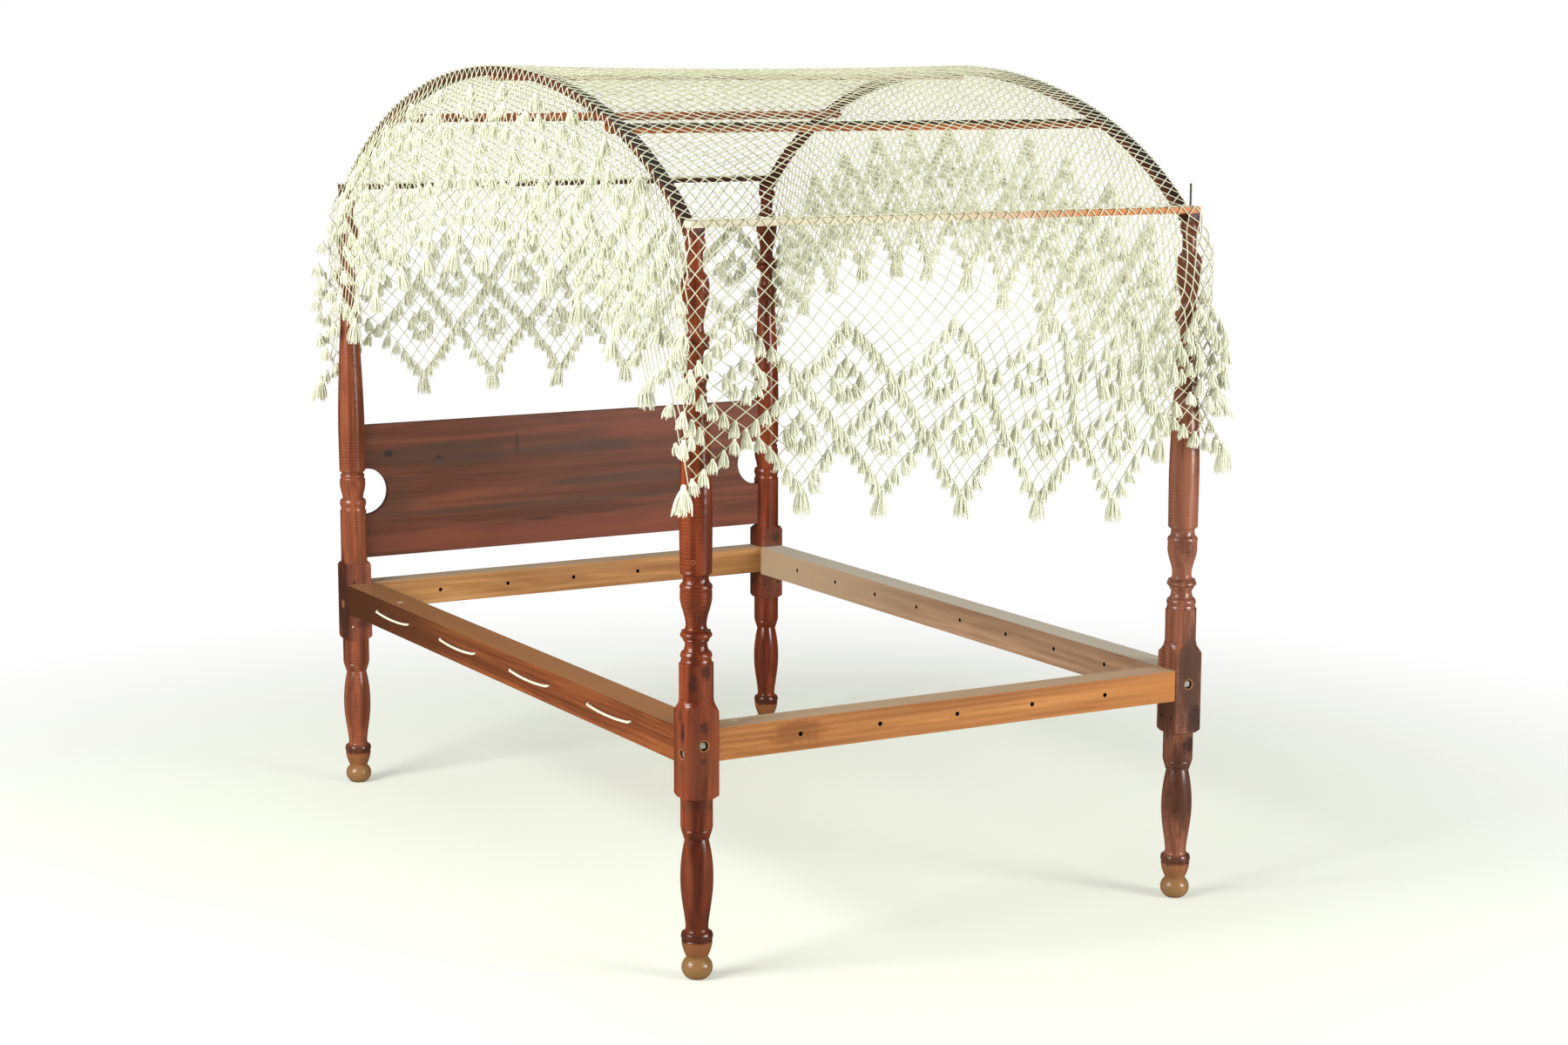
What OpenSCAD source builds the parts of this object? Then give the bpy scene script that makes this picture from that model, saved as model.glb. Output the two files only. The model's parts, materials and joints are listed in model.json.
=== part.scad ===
// Four-post rope bed with an arched tester frame and a knotted net canopy.
// Frame: +Z up, +Y to the head, +X to the right as seen from the foot.
// Origin: on the floor, midway between the four posts.

/* [Bedstead] */
// Distance between the post centres across the bed
post_span_x = 1300; // [1000:10:1700]
// Distance between the post centres along the bed
post_span_y = 2020; // [1700:10:2200]
// Height of the top face of all four rails
rail_top_z = 563; // [500:1:595]
// Floor to the underside of the square blocks
block_bottom_z = 408; // [360:1:430]
// Height of the square blocks
block_h = 204; // [180:1:300]
// Floor to the flat tops of the posts
post_top_z = 1622; // [1560:1:1900]

/* [Posts] */
// Side of the square block of a footpost
foot_block = 73; // [71:0.5:90]
// Side of the square block of a headpost
head_block = 70; // [70:0.5:90]
// Radius of the turned leg where it meets the block
leg_r = 35.5; // [34:0.5:36]
// Greatest radius of the swelling in the leg
leg_swell_r = 36.3; // [30:0.1:40]
// Radius of the ball foot
ball_r = 34.5; // [30:0.5:38]
// Radius of the flat under the ball foot
ball_flat_r = 19; // [12:0.5:24]
// Width of the octagon over the flats
octagon_w = 70; // [66:0.5:70.5]
// Height of the octagonal stretch above a footpost's block
octagon_h = 94; // [70:1:120]
// Radius of the long column just above its base
column_r = 35; // [30:0.5:35.5]
// Radius of the long column at its top
column_top_r = 23.6; // [20:0.1:27]
// Radius of the flat top of a post
post_tip_r = 20; // [16:0.5:24]

/* [Rails] */
// Thickness of the head and foot rails
end_rail_t = 70; // [50:1:90]
// Height of the head and foot rails
end_rail_h = 73; // [70:1:90]
// Thickness of the left side rail
left_rail_t = 84; // [60:1:100]
// Thickness of the right side rail
right_rail_t = 72; // [60:1:100]
// Height of the side rails
side_rail_h = 79; // [70:1:95]
// How far a side rail's outer face lies inside the posts' faces
rail_inset = 2; // [0:0.5:8]
// Diameter of the rope holes
rope_hole_d = 10; // [8:0.5:14]
// Depth of the rope holes' centres below the rail tops
rope_hole_drop = 36; // [28:1:42]
// Number of rope holes in the head and foot rails
end_rail_holes = 5; // [3:1:6]
// Number of rope holes in each side rail
side_rail_holes = 8; // [4:2:8]

/* [Bolts] */
// Diameter of a bed bolt's shank
bolt_d = 9.5; // [8:0.5:11]
// Length of a bed bolt's shank
bolt_len = 130; // [126:1:131]
// Side of the square bolt head
bolt_head_w = 13; // [11:0.5:14]
// Height of the square bolt head
bolt_head_h = 8; // [5:0.5:8]
// Diameter of the round flange under the head
bolt_flange_d = 20; // [18:0.5:21]
// Thickness of the round flange
bolt_flange_t = 2; // [1:0.5:2.5]
// Diameter of the counterbore that hides the head
counterbore_d = 22; // [21:0.5:26]
// Depth of the counterbore
counterbore_depth = 16; // [14:0.5:18]
// Depth of the bolts that run along the bed below the rail tops
long_bolt_drop = 36; // [30:1:38]
// Depth of the bolts that run across the bed below the rail tops
cross_bolt_drop = 57; // [54:1:59]
// Side of the square nuts
nut_w = 18; // [16:0.5:19]
// Thickness of the nuts
nut_t = 12; // [8:0.5:14]
// Rail end to the near face of a nut
nut_setback = 58; // [50:1:60]
// Length of a nut pocket along its rail
pocket_len = 22; // [19:0.5:30]
// Thickness of the wooden plug over a headpost's cross bolt
plug_t = 5.5; // [3:0.5:5.5]

/* [Headboard] */
// Thickness of the headboard
board_t = 20; // [14:0.5:26]
// Floor to the lower edge of the headboard
board_bottom_z = 631; // [628:1:660]
// Height of the headboard
board_h = 367; // [320:1:400]
// Radius of the half-round notch at each end
notch_r = 63.5; // [55:0.5:70]
// Floor to the centre of the notches
notch_z = 814; // [790:1:830]
// How deep the board is let into the posts
board_tenon = 22; // [10:1:26]

/* [Tester] */
// Depth of a bent rib at its crown
rib_depth = 19; // [14:0.5:26]
// Depth of a bent rib near its ends
rib_end_depth = 13; // [10:0.5:19]
// Width of the ribs across the bed
rib_w = 30; // [20:1:44]
// Height of a rib's crown above the post tops
rib_rise = 350; // [250:5:450]
// How far inside a post's centre a rib's curve meets the lath's underside
rib_seat_inset = 19.5; // [10:0.5:24]
// Height of the curve the ribs are bent to
rib_curve_b = 675; // [600:5:800]
// Height of the flat foot at each end of a rib
rib_foot_h = 18; // [12:1:24]
// Length of the flat under each rib foot
rib_foot_len = 42; // [38:1:50]
// Thickness of the head and foot laths
lath_t = 14; // [10:0.5:20]
// Width of the head and foot laths
lath_w = 32; // [24:1:36]
// How far the laths and ribs pass a post's centre
lath_overhang = 17; // [12:1:26]
// Width of the three cross slats along the curve
slat_w = 26; // [18:1:40]
// Thickness of the cross slats
slat_t = 14; // [10:0.5:20]
// Distance of the front and rear slats from the crown
haunch_y = 632; // [500:1:750]
// Diameter of the iron pins in the post tops
pin_d = 5; // [4:0.5:8]
// How far the pins are driven into the posts
pin_depth = 60; // [40:1:80]
// How far the pin of the right footpost stands above the lath
tall_pin_h = 54; // [20:1:80]
// How far the other pins stand above the laths
short_pin_h = 2; // [1:0.5:6]
// Diameter of the slat nails
nail_d = 3; // [2:0.5:4]

/* [Net canopy] */
// Thickness of the net
net_t = 3; // [2:0.5:5]
// Width of the strands that part the gaps
strand_w = 4.5; // [4:0.5:10]
// Points along the lower edge at the foot and the head, and gaps in one row
end_points = 6; // [4:1:8]
// Points along the lower edge at each side, and gaps in one row
side_points = 12; // [8:1:14]
// Depth of the notches between the points
point_depth = 98; // [60:1:120]
// Height of the point at the foot net's left corner
foot_left_z = 1100; // [1060:5:1160]
// Height of the foot net's last point before its right corner
foot_right_z = 995; // [960:5:1100]
// Height of the foot net's right corner, where the net is drawn up against the post
right_corner_z = 1100; // [1060:5:1160]
// Height of the head net's points
head_point_z = 1130; // [1080:5:1200]
// Length of the left net from its rib to its points
left_drop = 435; // [380:5:480]
// Length of the right net from its rib to its points, halfway along
right_drop = 530; // [450:5:560]
// What each millimetre toward the foot adds to the right net's length
right_lean = 0.13; // [0:0.01:0.2]
// How far the hanging nets stand clear of the widest turnings
net_clear = 2; // [1:0.5:6]
// Length of the tassel on each point
tassel_len = 72; // [40:1:75]
// Radius of a tassel's skirt
tassel_r = 15; // [8:0.5:18]

/* [Rope] */
// Diameter of the rope
rope_d = 6.5; // [5:0.5:7]

/* [Fits] */
// Play all round a bolt's shank
bolt_play = 0.25; // [0.1:0.05:0.5]
// Hollow of the ribs' curve over a flat slat
slat_play = 0.25; // [0.2:0.05:0.6]
// Play of a pin in the ribs and laths
pin_play = 0.1; // [0.05:0.01:0.3]
// Play all round a tenon in its mortise
tenon_play = 0.2; // [0.1:0.05:0.5]
// Play all round a driven pin, nail or plug
driven_play = 0.02; // [0.01:0.01:0.05]
// Gap that keeps soft pieces off their neighbours
soft_gap = 0.3; // [0.2:0.05:0.6]

/* [Hidden] */

$fn = 64;
eps = 0.01;
cut = 5;                                   // how far a cutter passes the wood

// --- Places worked out from the sizes above ---
post_x = post_span_x / 2;
post_y = post_span_y / 2;
block_top_z = block_bottom_z + block_h;
foot_half = foot_block / 2;
head_half = head_block / 2;
rope_hole_z = rail_top_z - rope_hole_drop;
long_bolt_z = rail_top_z - long_bolt_drop;
cross_bolt_z = rail_top_z - cross_bolt_drop;
end_rail_half = post_x - foot_half;        // half length between the footposts' blocks
head_rail_half = post_x - head_half;
side_y0 = -post_y + foot_half;             // side rails start at the footposts' inner faces
side_y1 = post_y - head_half;
side_len = side_y1 - side_y0;
left_out_x = -post_x - foot_half + rail_inset;
right_out_x = post_x + foot_half - rail_inset;
side_pitch = side_len / (side_rail_holes + 1);

// Turnings, as heights above the levels they hang from
octagon_top = block_top_z + octagon_h;
column_base = octagon_top + 202;
head_column_base = block_top_z + 263;
capital_z = post_top_z - 332;              // top of the long column
turning_r = 36;                            // widest turning beside the net

// Tester
lath_seat_z = post_top_z + rib_foot_h;
lath_top_z = lath_seat_z + lath_t;
crown_z = post_top_z + rib_rise;
curve_mid_z = crown_z - rib_curve_b;
rib_end_y = post_y + lath_overhang;
seat_t = acos((lath_seat_z - curve_mid_z) / rib_curve_b);   // curve angle at the lath seat
rib_curve_a = (post_y - rib_seat_inset) / sin(seat_t);       // half length of the full curve
slat_t0 = asin(haunch_y / rib_curve_a);                      // curve angle at a haunch slat

// Net
net_x = post_x + turning_r + net_clear;    // inner faces of the hanging nets
net_y = post_y + turning_r + net_clear;
gap_h = 2 * point_depth;                   // the strands run on from the points' edges
net_flat_t = acos((lath_top_z - curve_mid_z) / rib_curve_b);
net_flat_y = rib_curve_a * sin(net_flat_t);

// --- Outlines of turned stretches, as lists of [radius, height] ---
STEPS = 8;
function ramp(n = STEPS) = [for (i = [0:n]) i / n];
function arc_bead(z0, z1, r0, out) = [for (t = ramp()) [r0 + out * sin(180 * t), z0 + (z1 - z0) * t]];
function s_curve(z0, r0, z1, r1) =
    [for (t = ramp(10)) [r0 + (r1 - r0) * (1 - cos(180 * t)) / 2, z0 + (z1 - z0) * t]];
function cove(z0, r0, z1, r1) =
    [for (t = ramp(6)) [r1 + (r0 - r1) * (1 - sin(90 * t)), z0 + (z1 - z0) * (1 - cos(90 * t))]];
function cove_up(z0, r0, z1, r1) =
    [for (t = ramp(6)) [r0 + (r1 - r0) * (1 - cos(90 * t)), z0 + (z1 - z0) * sin(90 * t)]];
function swell(z0, r0, z1, r1, p) =
    [for (t = ramp(12)) [r0 + (r1 - r0) * pow(sin(90 * t), p), z0 + (z1 - z0) * t]];
function ease(z0, r0, z1, r1, p) =
    [for (t = ramp(12)) [r0 + (r1 - r0) * pow(t, p), z0 + (z1 - z0) * t]];

// Ball foot, cup, collar, swelling and rings, up to the block's underside at zb
ball_z = 25;
ball_h = 30;
ball_lo = -asin(ball_z / ball_h);
ball_hi = 47;
function leg_outline(zb) = concat(
    [[0, 0], [ball_flat_r, 0]],
    [for (i = [1:12]) let (a = ball_lo + (ball_hi - ball_lo) * i / 12)
        [ball_r * cos(a), ball_z + ball_h * sin(a)]],
    [for (t = ramp(6)) [24 + 10 * sin(90 * t), 49 + 37 * t]],
    [[33, 87.5]],
    arc_bead(88.5, 104, 33.6, 1.8),
    cove(106, 31, 114, 25.3),
    swell(118, 25, 226, leg_swell_r, 1.35),
    ease(230, leg_swell_r, zb - 92, 25.6, 2),
    [[28.8, zb - 91.5], [28.8, zb - 87.5], [27.6, zb - 86.5], [30.2, zb - 85.5],
        [34, zb - 73], [33.2, zb - 71], [34.8, zb - 69.5], [leg_r, zb - 66],
        [leg_r, zb], [0, zb]]);

// Rings, vase and flange between a footpost's octagon and its column
function foot_turnings(o) = concat(
    [[0, o], [34.2, o], [34, o + 3], [32.8, o + 8]],
    arc_bead(o + 10, o + 22, 33, 1.8),
    cove(o + 24, 32, o + 42, 24.5),
    [[24.5, o + 45], [27.5, o + 47], [28.6, o + 50], [27.8, o + 52]],
    arc_bead(o + 53, o + 69, 30, 5),
    cove(o + 70, 32.4, o + 79, 23.2),
    s_curve(o + 82, 22.8, o + 146, 35.2),
    [[35, o + 157], [34, o + 158.5]],
    arc_bead(o + 160, o + 171, 34.4, 1.4),
    cove(o + 172, 33.6, o + 187, 27.8),
    [[27.8, o + 190], [29, o + 192], [33, o + 194], [35.4, o + 199], [34.6, o + 201]]);

// Cylinder, bead, vase and band between a headpost's block and its column
function head_turnings(b) = concat(
    [[0, b - 10], [35.6, b - 10], [35.6, b + 150], [36, b + 152], [33.4, b + 154],
        [32.4, b + 160], [33.6, b + 162]],
    arc_bead(b + 163, b + 183, 33.2, 2.6),
    [[29, b + 184]],
    s_curve(b + 185, 28, b + 226, 34.8),
    [[34.6, b + 238], [32.4, b + 241]],
    arc_bead(b + 243, b + 253, 31.6, 1.2),
    [[29.2, b + 255], [29.2, b + 259], [33.6, b + 260.5], [35.2, b + 263]]);

// Long column from z0 up to the capital
function column_outline(z0) = concat(
    [[column_r - 0.2, z0 + 1]],
    swell(z0 + 4, column_r, z0 + 120, column_r + 0.9, 1),
    ease(z0 + 126, column_r + 0.9, capital_z, column_top_r, 1.5));

// Cup, rings, urn and bulb above the long column, from c up to the post's tip
function capital_outline(c) = concat(
    arc_bead(c + 1, c + 7, column_top_r, 2),
    cove_up(c + 9, 22.4, c + 26, 27.6),
    arc_bead(c + 28, c + 38, 27.4, 1.4),
    cove(c + 40, 26, c + 56, 17.4),
    cove_up(c + 76, 17, c + 92, 24),
    arc_bead(c + 94, c + 105, 28.4, 1.8),
    [[25.6, c + 107]],
    arc_bead(c + 109, c + 122, 29.2, 1.8),
    cove(c + 123, 27, c + 136, 18.4),
    s_curve(c + 142, 18, c + 222, 30.6),
    [[29.8, c + 224], [30.6, c + 226], [30.6, c + 234], [29.6, c + 236]],
    ease(c + 238, 29.4, c + 258, 18.4, 2),
    [[17.2, c + 262], [17, c + 298], [18, c + 300]],
    arc_bead(c + 301, post_top_z - 2, 19.6, 3.4),
    [[post_tip_r, post_top_z], [0, post_top_z]]);

// --- Posts ---
// Square block whose corners are rounded by the lathe: a square cut by a turned outline
module turned_block(side, outline) {
    intersection() {
        translate([-side / 2, -side / 2, block_bottom_z])
            cube([side, side, block_h + 14]);
        rotate_extrude() polygon(outline);
    }
}

corner_cut = 9;                            // how far in the lathe takes a block's corners
module foot_block_solid() {
    corner_r = foot_half * sqrt(2);
    octagon_r = octagon_w / 2 / cos(22.5);
    turned_block(foot_block, concat(
        [[0, block_bottom_z], [corner_r - corner_cut, block_bottom_z],
            [corner_r + 1, block_bottom_z + 7]],
        [for (t = ramp(6)) [octagon_r + (corner_r + 1 - octagon_r) * pow(1 - t, 2),
            block_top_z - 12 + 26 * t]],
        [[0, block_top_z + 14]]));
}

module head_block_solid() {
    corner_r = head_half * sqrt(2);
    turned_block(head_block, [[0, block_bottom_z], [corner_r - corner_cut, block_bottom_z],
        [corner_r + 1, block_bottom_z + 7], [corner_r + 1, block_top_z],
        [corner_r - corner_cut, block_top_z + 9], [0, block_top_z + 9]]);
}

// A bolt's hole and counterbore, along +X from the outer face at x = 0
module bolt_way(through) {
    rotate([0, 90, 0])
        translate([0, 0, -cut])
            cylinder(d = counterbore_d, h = counterbore_depth + cut);
    rotate([0, 90, 0])
        cylinder(d = bolt_d + 2 * bolt_play, h = through + cut);
}

module pin_hole_in_post() {
    translate([0, 0, post_top_z - pin_depth])
        cylinder(d = pin_d + 2 * driven_play, h = pin_depth + cut);
}

// Post on its own axis: sx and sy point away from the bed's middle
module footpost(sx) {
    difference() {
        union() {
            rotate_extrude() polygon(leg_outline(block_bottom_z + eps));
            foot_block_solid();
            translate([0, 0, block_top_z])
                rotate([0, 0, 22.5])
                    cylinder(d = octagon_w / cos(22.5), h = octagon_h, $fn = 8);
            rotate_extrude() polygon(concat(foot_turnings(octagon_top - eps),
                column_outline(column_base), capital_outline(capital_z)));
        }
        translate([0, -foot_half, long_bolt_z])
            rotate([0, 0, 90]) bolt_way(foot_block);
        translate([sx * foot_half, 0, cross_bolt_z])
            rotate([0, 0, sx > 0 ? 180 : 0]) bolt_way(foot_block);
        pin_hole_in_post();
    }
}

module headpost(sx) {
    difference() {
        union() {
            rotate_extrude() polygon(leg_outline(block_bottom_z + eps));
            head_block_solid();
            rotate_extrude() polygon(concat(head_turnings(block_top_z),
                column_outline(head_column_base), capital_outline(capital_z)));
        }
        translate([0, head_half, long_bolt_z])
            rotate([0, 0, -90]) bolt_way(head_block);
        translate([sx * head_half, 0, cross_bolt_z])
            rotate([0, 0, sx > 0 ? 180 : 0]) bolt_way(head_block);
        translate([-sx * post_x, -post_y, 0]) board_mortises(sx);
        pin_hole_in_post();
    }
}

module footpost_left() { color("#8a3c1e") translate([-post_x, -post_y, 0]) footpost(-1); }
module footpost_right() { color("#8a3c1e") translate([post_x, -post_y, 0]) footpost(1); }
module headpost_left() { color("#7c3519") translate([-post_x, post_y, 0]) headpost(-1); }
module headpost_right() { color("#7c3519") translate([post_x, post_y, 0]) headpost(1); }

// --- Rails ---
// Bolt hole and nut pocket at a rail's end: the rail runs along +X from x = 0
module rail_end_ways(bolt_z, bottom_z) {
    translate([-cut, 0, bolt_z])
        rotate([0, 90, 0])
            cylinder(d = bolt_d + 2 * bolt_play, h = nut_setback + pocket_len / 2 + cut);
    translate([nut_setback, -nut_w / 2 - 1, bottom_z - cut])
        cube([pocket_len, nut_w + 2, bolt_z - bottom_z + nut_w / 2 + 1 + cut]);
}

module rope_hole(len) {
    rotate([90, 0, 0])
        cylinder(d = rope_hole_d, h = len + 2 * cut, center = true);
}

// Rail across the bed: inner face flush with the blocks' inner faces
module end_rail(half, inner_y, out) {
    mid_y = inner_y + out * end_rail_t / 2;
    bolt_y = out * post_y;
    bottom_z = rail_top_z - end_rail_h;
    pitch = 2 * half / (end_rail_holes + 1);
    difference() {
        translate([-half, mid_y - end_rail_t / 2, bottom_z])
            cube([2 * half, end_rail_t, end_rail_h]);
        for (i = [1:end_rail_holes])
            translate([-half + i * pitch, mid_y, rope_hole_z]) rope_hole(end_rail_t);
        for (m = [0, 1])
            mirror([m, 0, 0])
                translate([-half, bolt_y, 0]) rail_end_ways(cross_bolt_z, bottom_z);
    }
}

module foot_rail() { color("#a9672f") end_rail(end_rail_half, side_y0, -1); }
module head_rail() { color("#b5742f") end_rail(head_rail_half, side_y1, 1); }

// Rail along the bed: outer face just inside the posts' outer faces
module side_rail(outer_x, t, sx) {
    mid_x = outer_x - sx * t / 2;
    bottom_z = rail_top_z - side_rail_h;
    difference() {
        translate([mid_x - t / 2, side_y0, bottom_z])
            cube([t, side_len, side_rail_h]);
        for (i = [1:side_rail_holes])
            translate([mid_x, side_y0 + i * side_pitch, rope_hole_z])
                rotate([0, 0, 90]) rope_hole(t);
        translate([sx * post_x, side_y0, 0])
            rotate([0, 0, 90]) rail_end_ways(long_bolt_z, bottom_z);
        translate([sx * post_x, side_y1, 0])
            rotate([0, 0, -90]) rail_end_ways(long_bolt_z, bottom_z);
    }
}

module side_rail_left() { color("#8a4c22") side_rail(left_out_x, left_rail_t, -1); }
module side_rail_right() { color("#a5652e") side_rail(right_out_x, right_rail_t, 1); }

// --- Headboard ---
board_half = post_x - turning_r + board_tenon;
notch_x = post_x - turning_r - 2;
notch_half = sqrt(pow(notch_r, 2) - pow(board_half - notch_x, 2));

module headboard() {
    color("#7a4028")
    translate([0, post_y + board_t / 2, 0])
        rotate([90, 0, 0])
            linear_extrude(board_t)
                difference() {
                    translate([-board_half, board_bottom_z])
                        square([2 * board_half, board_h]);
                    for (sx = [-1, 1])
                        translate([sx * notch_x, notch_z]) circle(r = notch_r, $fn = 96);
                }
}

// The two slots that take the board's end above and below its notch
module board_mortises(sx) {
    depth = board_half + tenon_play;
    wide = board_t + 2 * tenon_play;
    low = board_bottom_z - tenon_play;
    high = board_bottom_z + board_h + tenon_play;
    x0 = sx > 0 ? depth - board_tenon - cut : -depth;
    for (span = [[low, notch_z - notch_half + tenon_play], [notch_z + notch_half - tenon_play, high]])
        translate([x0, post_y - wide / 2, span[0]])
            cube([board_tenon + cut, wide, span[1] - span[0]]);
}

// --- Bolts, nuts and plugs ---
// One bolt along +X: x = 0 is the counterbore's bottom, the head points to -X
module bolt() {
    translate([-eps, 0, 0]) rotate([0, 90, 0]) cylinder(d = bolt_d, h = bolt_len + eps);
    translate([-bolt_flange_t, 0, 0])
        rotate([0, 90, 0]) cylinder(d = bolt_flange_d, h = bolt_flange_t);
    translate([-bolt_flange_t - bolt_head_h, -bolt_head_w / 2, -bolt_head_w / 2])
        cube([bolt_head_h + eps, bolt_head_w, bolt_head_w]);
}

module nut() {
    difference() {
        translate([0, -nut_w / 2, -nut_w / 2]) cube([nut_t, nut_w, nut_w]);
        translate([-cut, 0, 0])
            rotate([0, 90, 0]) cylinder(d = bolt_d + 0.1, h = nut_t + 2 * cut);
    }
}

// Runs the children at each bolt: offset is measured in from the post's outer face
module at_long_bolts(offset_foot, offset_head) {
    for (sx = [-1, 1]) {
        translate([sx * post_x, -post_y - foot_half + offset_foot, long_bolt_z])
            rotate([0, 0, 90]) children();
        translate([sx * post_x, post_y + head_half - offset_head, long_bolt_z])
            rotate([0, 0, -90]) children();
    }
}

module at_cross_bolts(offset_foot, offset_head) {
    for (sx = [-1, 1]) {
        translate([sx * (post_x + foot_half - offset_foot), -post_y, cross_bolt_z])
            rotate([0, 0, sx > 0 ? 180 : 0]) children();
        translate([sx * (post_x + head_half - offset_head), post_y, cross_bolt_z])
            rotate([0, 0, sx > 0 ? 180 : 0]) children();
    }
}

module bed_bolts() {
    color("#6f7278") {
        at_long_bolts(counterbore_depth, counterbore_depth) bolt();
        at_cross_bolts(counterbore_depth, counterbore_depth) bolt();
    }
}

module bolt_nuts() {
    color("#5d5f63") {
        at_long_bolts(foot_block + nut_setback, head_block + nut_setback) nut();
        at_cross_bolts(foot_block + nut_setback, head_block + nut_setback) nut();
    }
}

module bolt_hole_plugs() {
    color("#a8794a")
    for (sx = [-1, 1])
        translate([sx * (post_x + head_half - plug_t / 2), post_y, cross_bolt_z])
            rotate([0, 90, 0]) cylinder(d = counterbore_d - 2 * driven_play, h = plug_t, center = true);
}

// Iron pins that hold the tester's corners on the post tops
module post_pins() {
    color("#6f7278")
    for (sx = [-1, 1], sy = [-1, 1]) {
        above = sx > 0 && sy < 0 ? tall_pin_h : short_pin_h;
        translate([sx * post_x, sy * post_y, post_top_z - pin_depth])
            cylinder(d = pin_d, h = pin_depth + lath_top_z - post_top_z + above);
    }
}

// --- Rope ---
// Each loop leaves one hole of the left rail, sags along its face and enters the next hole.
// Half a route: [out from the rail's face, along the rail from the hole, down]
rope_sides = 8;
rope_half_route = [[-76, 0, 0], [-40, 0, 0], [-6, 0, 0], [-1, 0.5, 0], [1.2, 1.3, -0.3],
    [2.9, 3, -0.6], [3.8, 6.2, -1], [3.7, 11, -1.5], [3.6, 40, -4], [3.6, 82, -6]];
function rope_route(pitch) = concat(
    [for (p = rope_half_route) [-p[0], p[1], p[2]]],
    [for (i = [len(rope_half_route) - 1:-1:0]) let (p = rope_half_route[i])
        [-p[0], pitch - p[1], p[2]]]);

function unit(v) = v / norm(v);
function heading(route, i) = unit(route[min(i + 1, len(route) - 1)] - route[max(i - 1, 0)]);

// Tube of rope_sides sides swept along a route that keeps near a level plane
module rope_tube(route) {
    rings = len(route);
    points = [for (i = [0:rings - 1]) let (h = heading(route, i), s = unit(cross([0, 0, 1], h)),
        u = cross(h, s)) for (k = [0:rope_sides - 1]) let (a = 360 * k / rope_sides)
            route[i] + rope_d / 2 * (s * cos(a) + u * sin(a))];
    function at(i, k) = i * rope_sides + k % rope_sides;
    walls = [for (i = [0:rings - 2], k = [0:rope_sides - 1])
        each [[at(i, k), at(i + 1, k), at(i, k + 1)],
            [at(i, k + 1), at(i + 1, k), at(i + 1, k + 1)]]];
    ends = [for (k = [1:rope_sides - 2]) each [[0, k, k + 1],
        [at(rings - 1, 0), at(rings - 1, k + 1), at(rings - 1, k)]]];
    polyhedron(points = points, faces = concat(walls, ends));
}

module rope_loop(i) {
    color("#e9e4d2")
    translate([left_out_x, side_y1 - (2 * i - 1) * side_pitch, rope_hole_z])
        mirror([0, 1, 0])
            rope_tube(rope_route(side_pitch));
}

module rope_loop_1() { rope_loop(1); }
module rope_loop_2() { rope_loop(2); }
module rope_loop_3() { rope_loop(3); }
module rope_loop_4() { rope_loop(4); }

// --- Tester ---
// A point of the bent curve at angle t from the crown, moved in by d along its normal
function curve_normal(t) = unit([sin(t) / rib_curve_a, cos(t) / rib_curve_b]);
function curve_point(t, d = 0) =
    [rib_curve_a * sin(t), curve_mid_z + rib_curve_b * cos(t)] - d * curve_normal(t);
function rib_depth_at(t) = rib_depth - (rib_depth - rib_end_depth) * pow(min(1, abs(t) / seat_t), 2);
rib_steps = 24;
rib_last_t = seat_t + 2.6;                 // the band runs on into the flat foot
function rib_angles() = [for (i = [-rib_steps:rib_steps]) rib_last_t * i / rib_steps];

module rib_outline() {
    angles = rib_angles();
    n = len(angles);
    difference() {
        union() {
            polygon(concat([for (i = [n - 1:-1:0]) curve_point(angles[i])],
                [for (t = angles) curve_point(t, rib_depth_at(t))]));
            for (y = [-rib_end_y, rib_end_y - rib_foot_len])
                translate([y, post_top_z]) square([rib_foot_len, rib_foot_h]);
        }
        translate([-2 * post_y, post_top_z - 100]) square([4 * post_y, 100]);
    }
}

module pin_hole(x, y) {
    translate([x, y, post_top_z - cut])
        cylinder(d = pin_d + 2 * pin_play, h = lath_top_z - post_top_z + 2 * cut);
}

module arch_rib(x) {
    difference() {
        translate([x - rib_w / 2, 0, 0])
            rotate([90, 0, 90]) linear_extrude(rib_w) rib_outline();
        for (sy = [-1, 1]) pin_hole(x, sy * post_y);
        for (t = [-slat_t0, 0, slat_t0]) at_curve(x, t, 0) nail_hole();
    }
}

// Runs the children on the ribs' outer curve: their -Z points along the curve's inward normal
module at_curve(x, t, d) {
    p = curve_point(t, d);
    n = curve_normal(t);
    translate([x, p[0], p[1]])
        rotate([-atan2(n[0], n[1]), 0, 0]) children();
}

module arch_rib_left() { color("#6f3a26") arch_rib(-post_x); }
module arch_rib_right() { color("#6f3a26") arch_rib(post_x); }

lath_half = post_x + rib_w / 2 + 2;
module lath(sy) {
    difference() {
        translate([-lath_half, sy > 0 ? rib_end_y - lath_w : -rib_end_y, lath_seat_z])
            cube([2 * lath_half, lath_w, lath_t]);
        for (sx = [-1, 1]) pin_hole(sx * post_x, sy * post_y);
    }
}

module foot_lath() { color("#d8b690") lath(-1); }
module head_lath() { color("#6b3622") lath(1); }

// A slat lies flat under both ribs, square to their curve
module slat(t) {
    half = post_x + rib_w / 2;
    difference() {
        at_curve(0, t, rib_depth_at(t) + slat_play)
            translate([-half, -slat_w / 2, -slat_t]) cube([2 * half, slat_w, slat_t]);
        for (sx = [-1, 1]) at_curve(sx * post_x, t, 0) nail_hole();
    }
}

module crown_slat() { color("#8f4a2c") slat(0); }
module front_slat() { color("#b0602c") slat(-slat_t0); }
module rear_slat() { color("#8f4a2c") slat(slat_t0); }

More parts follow.
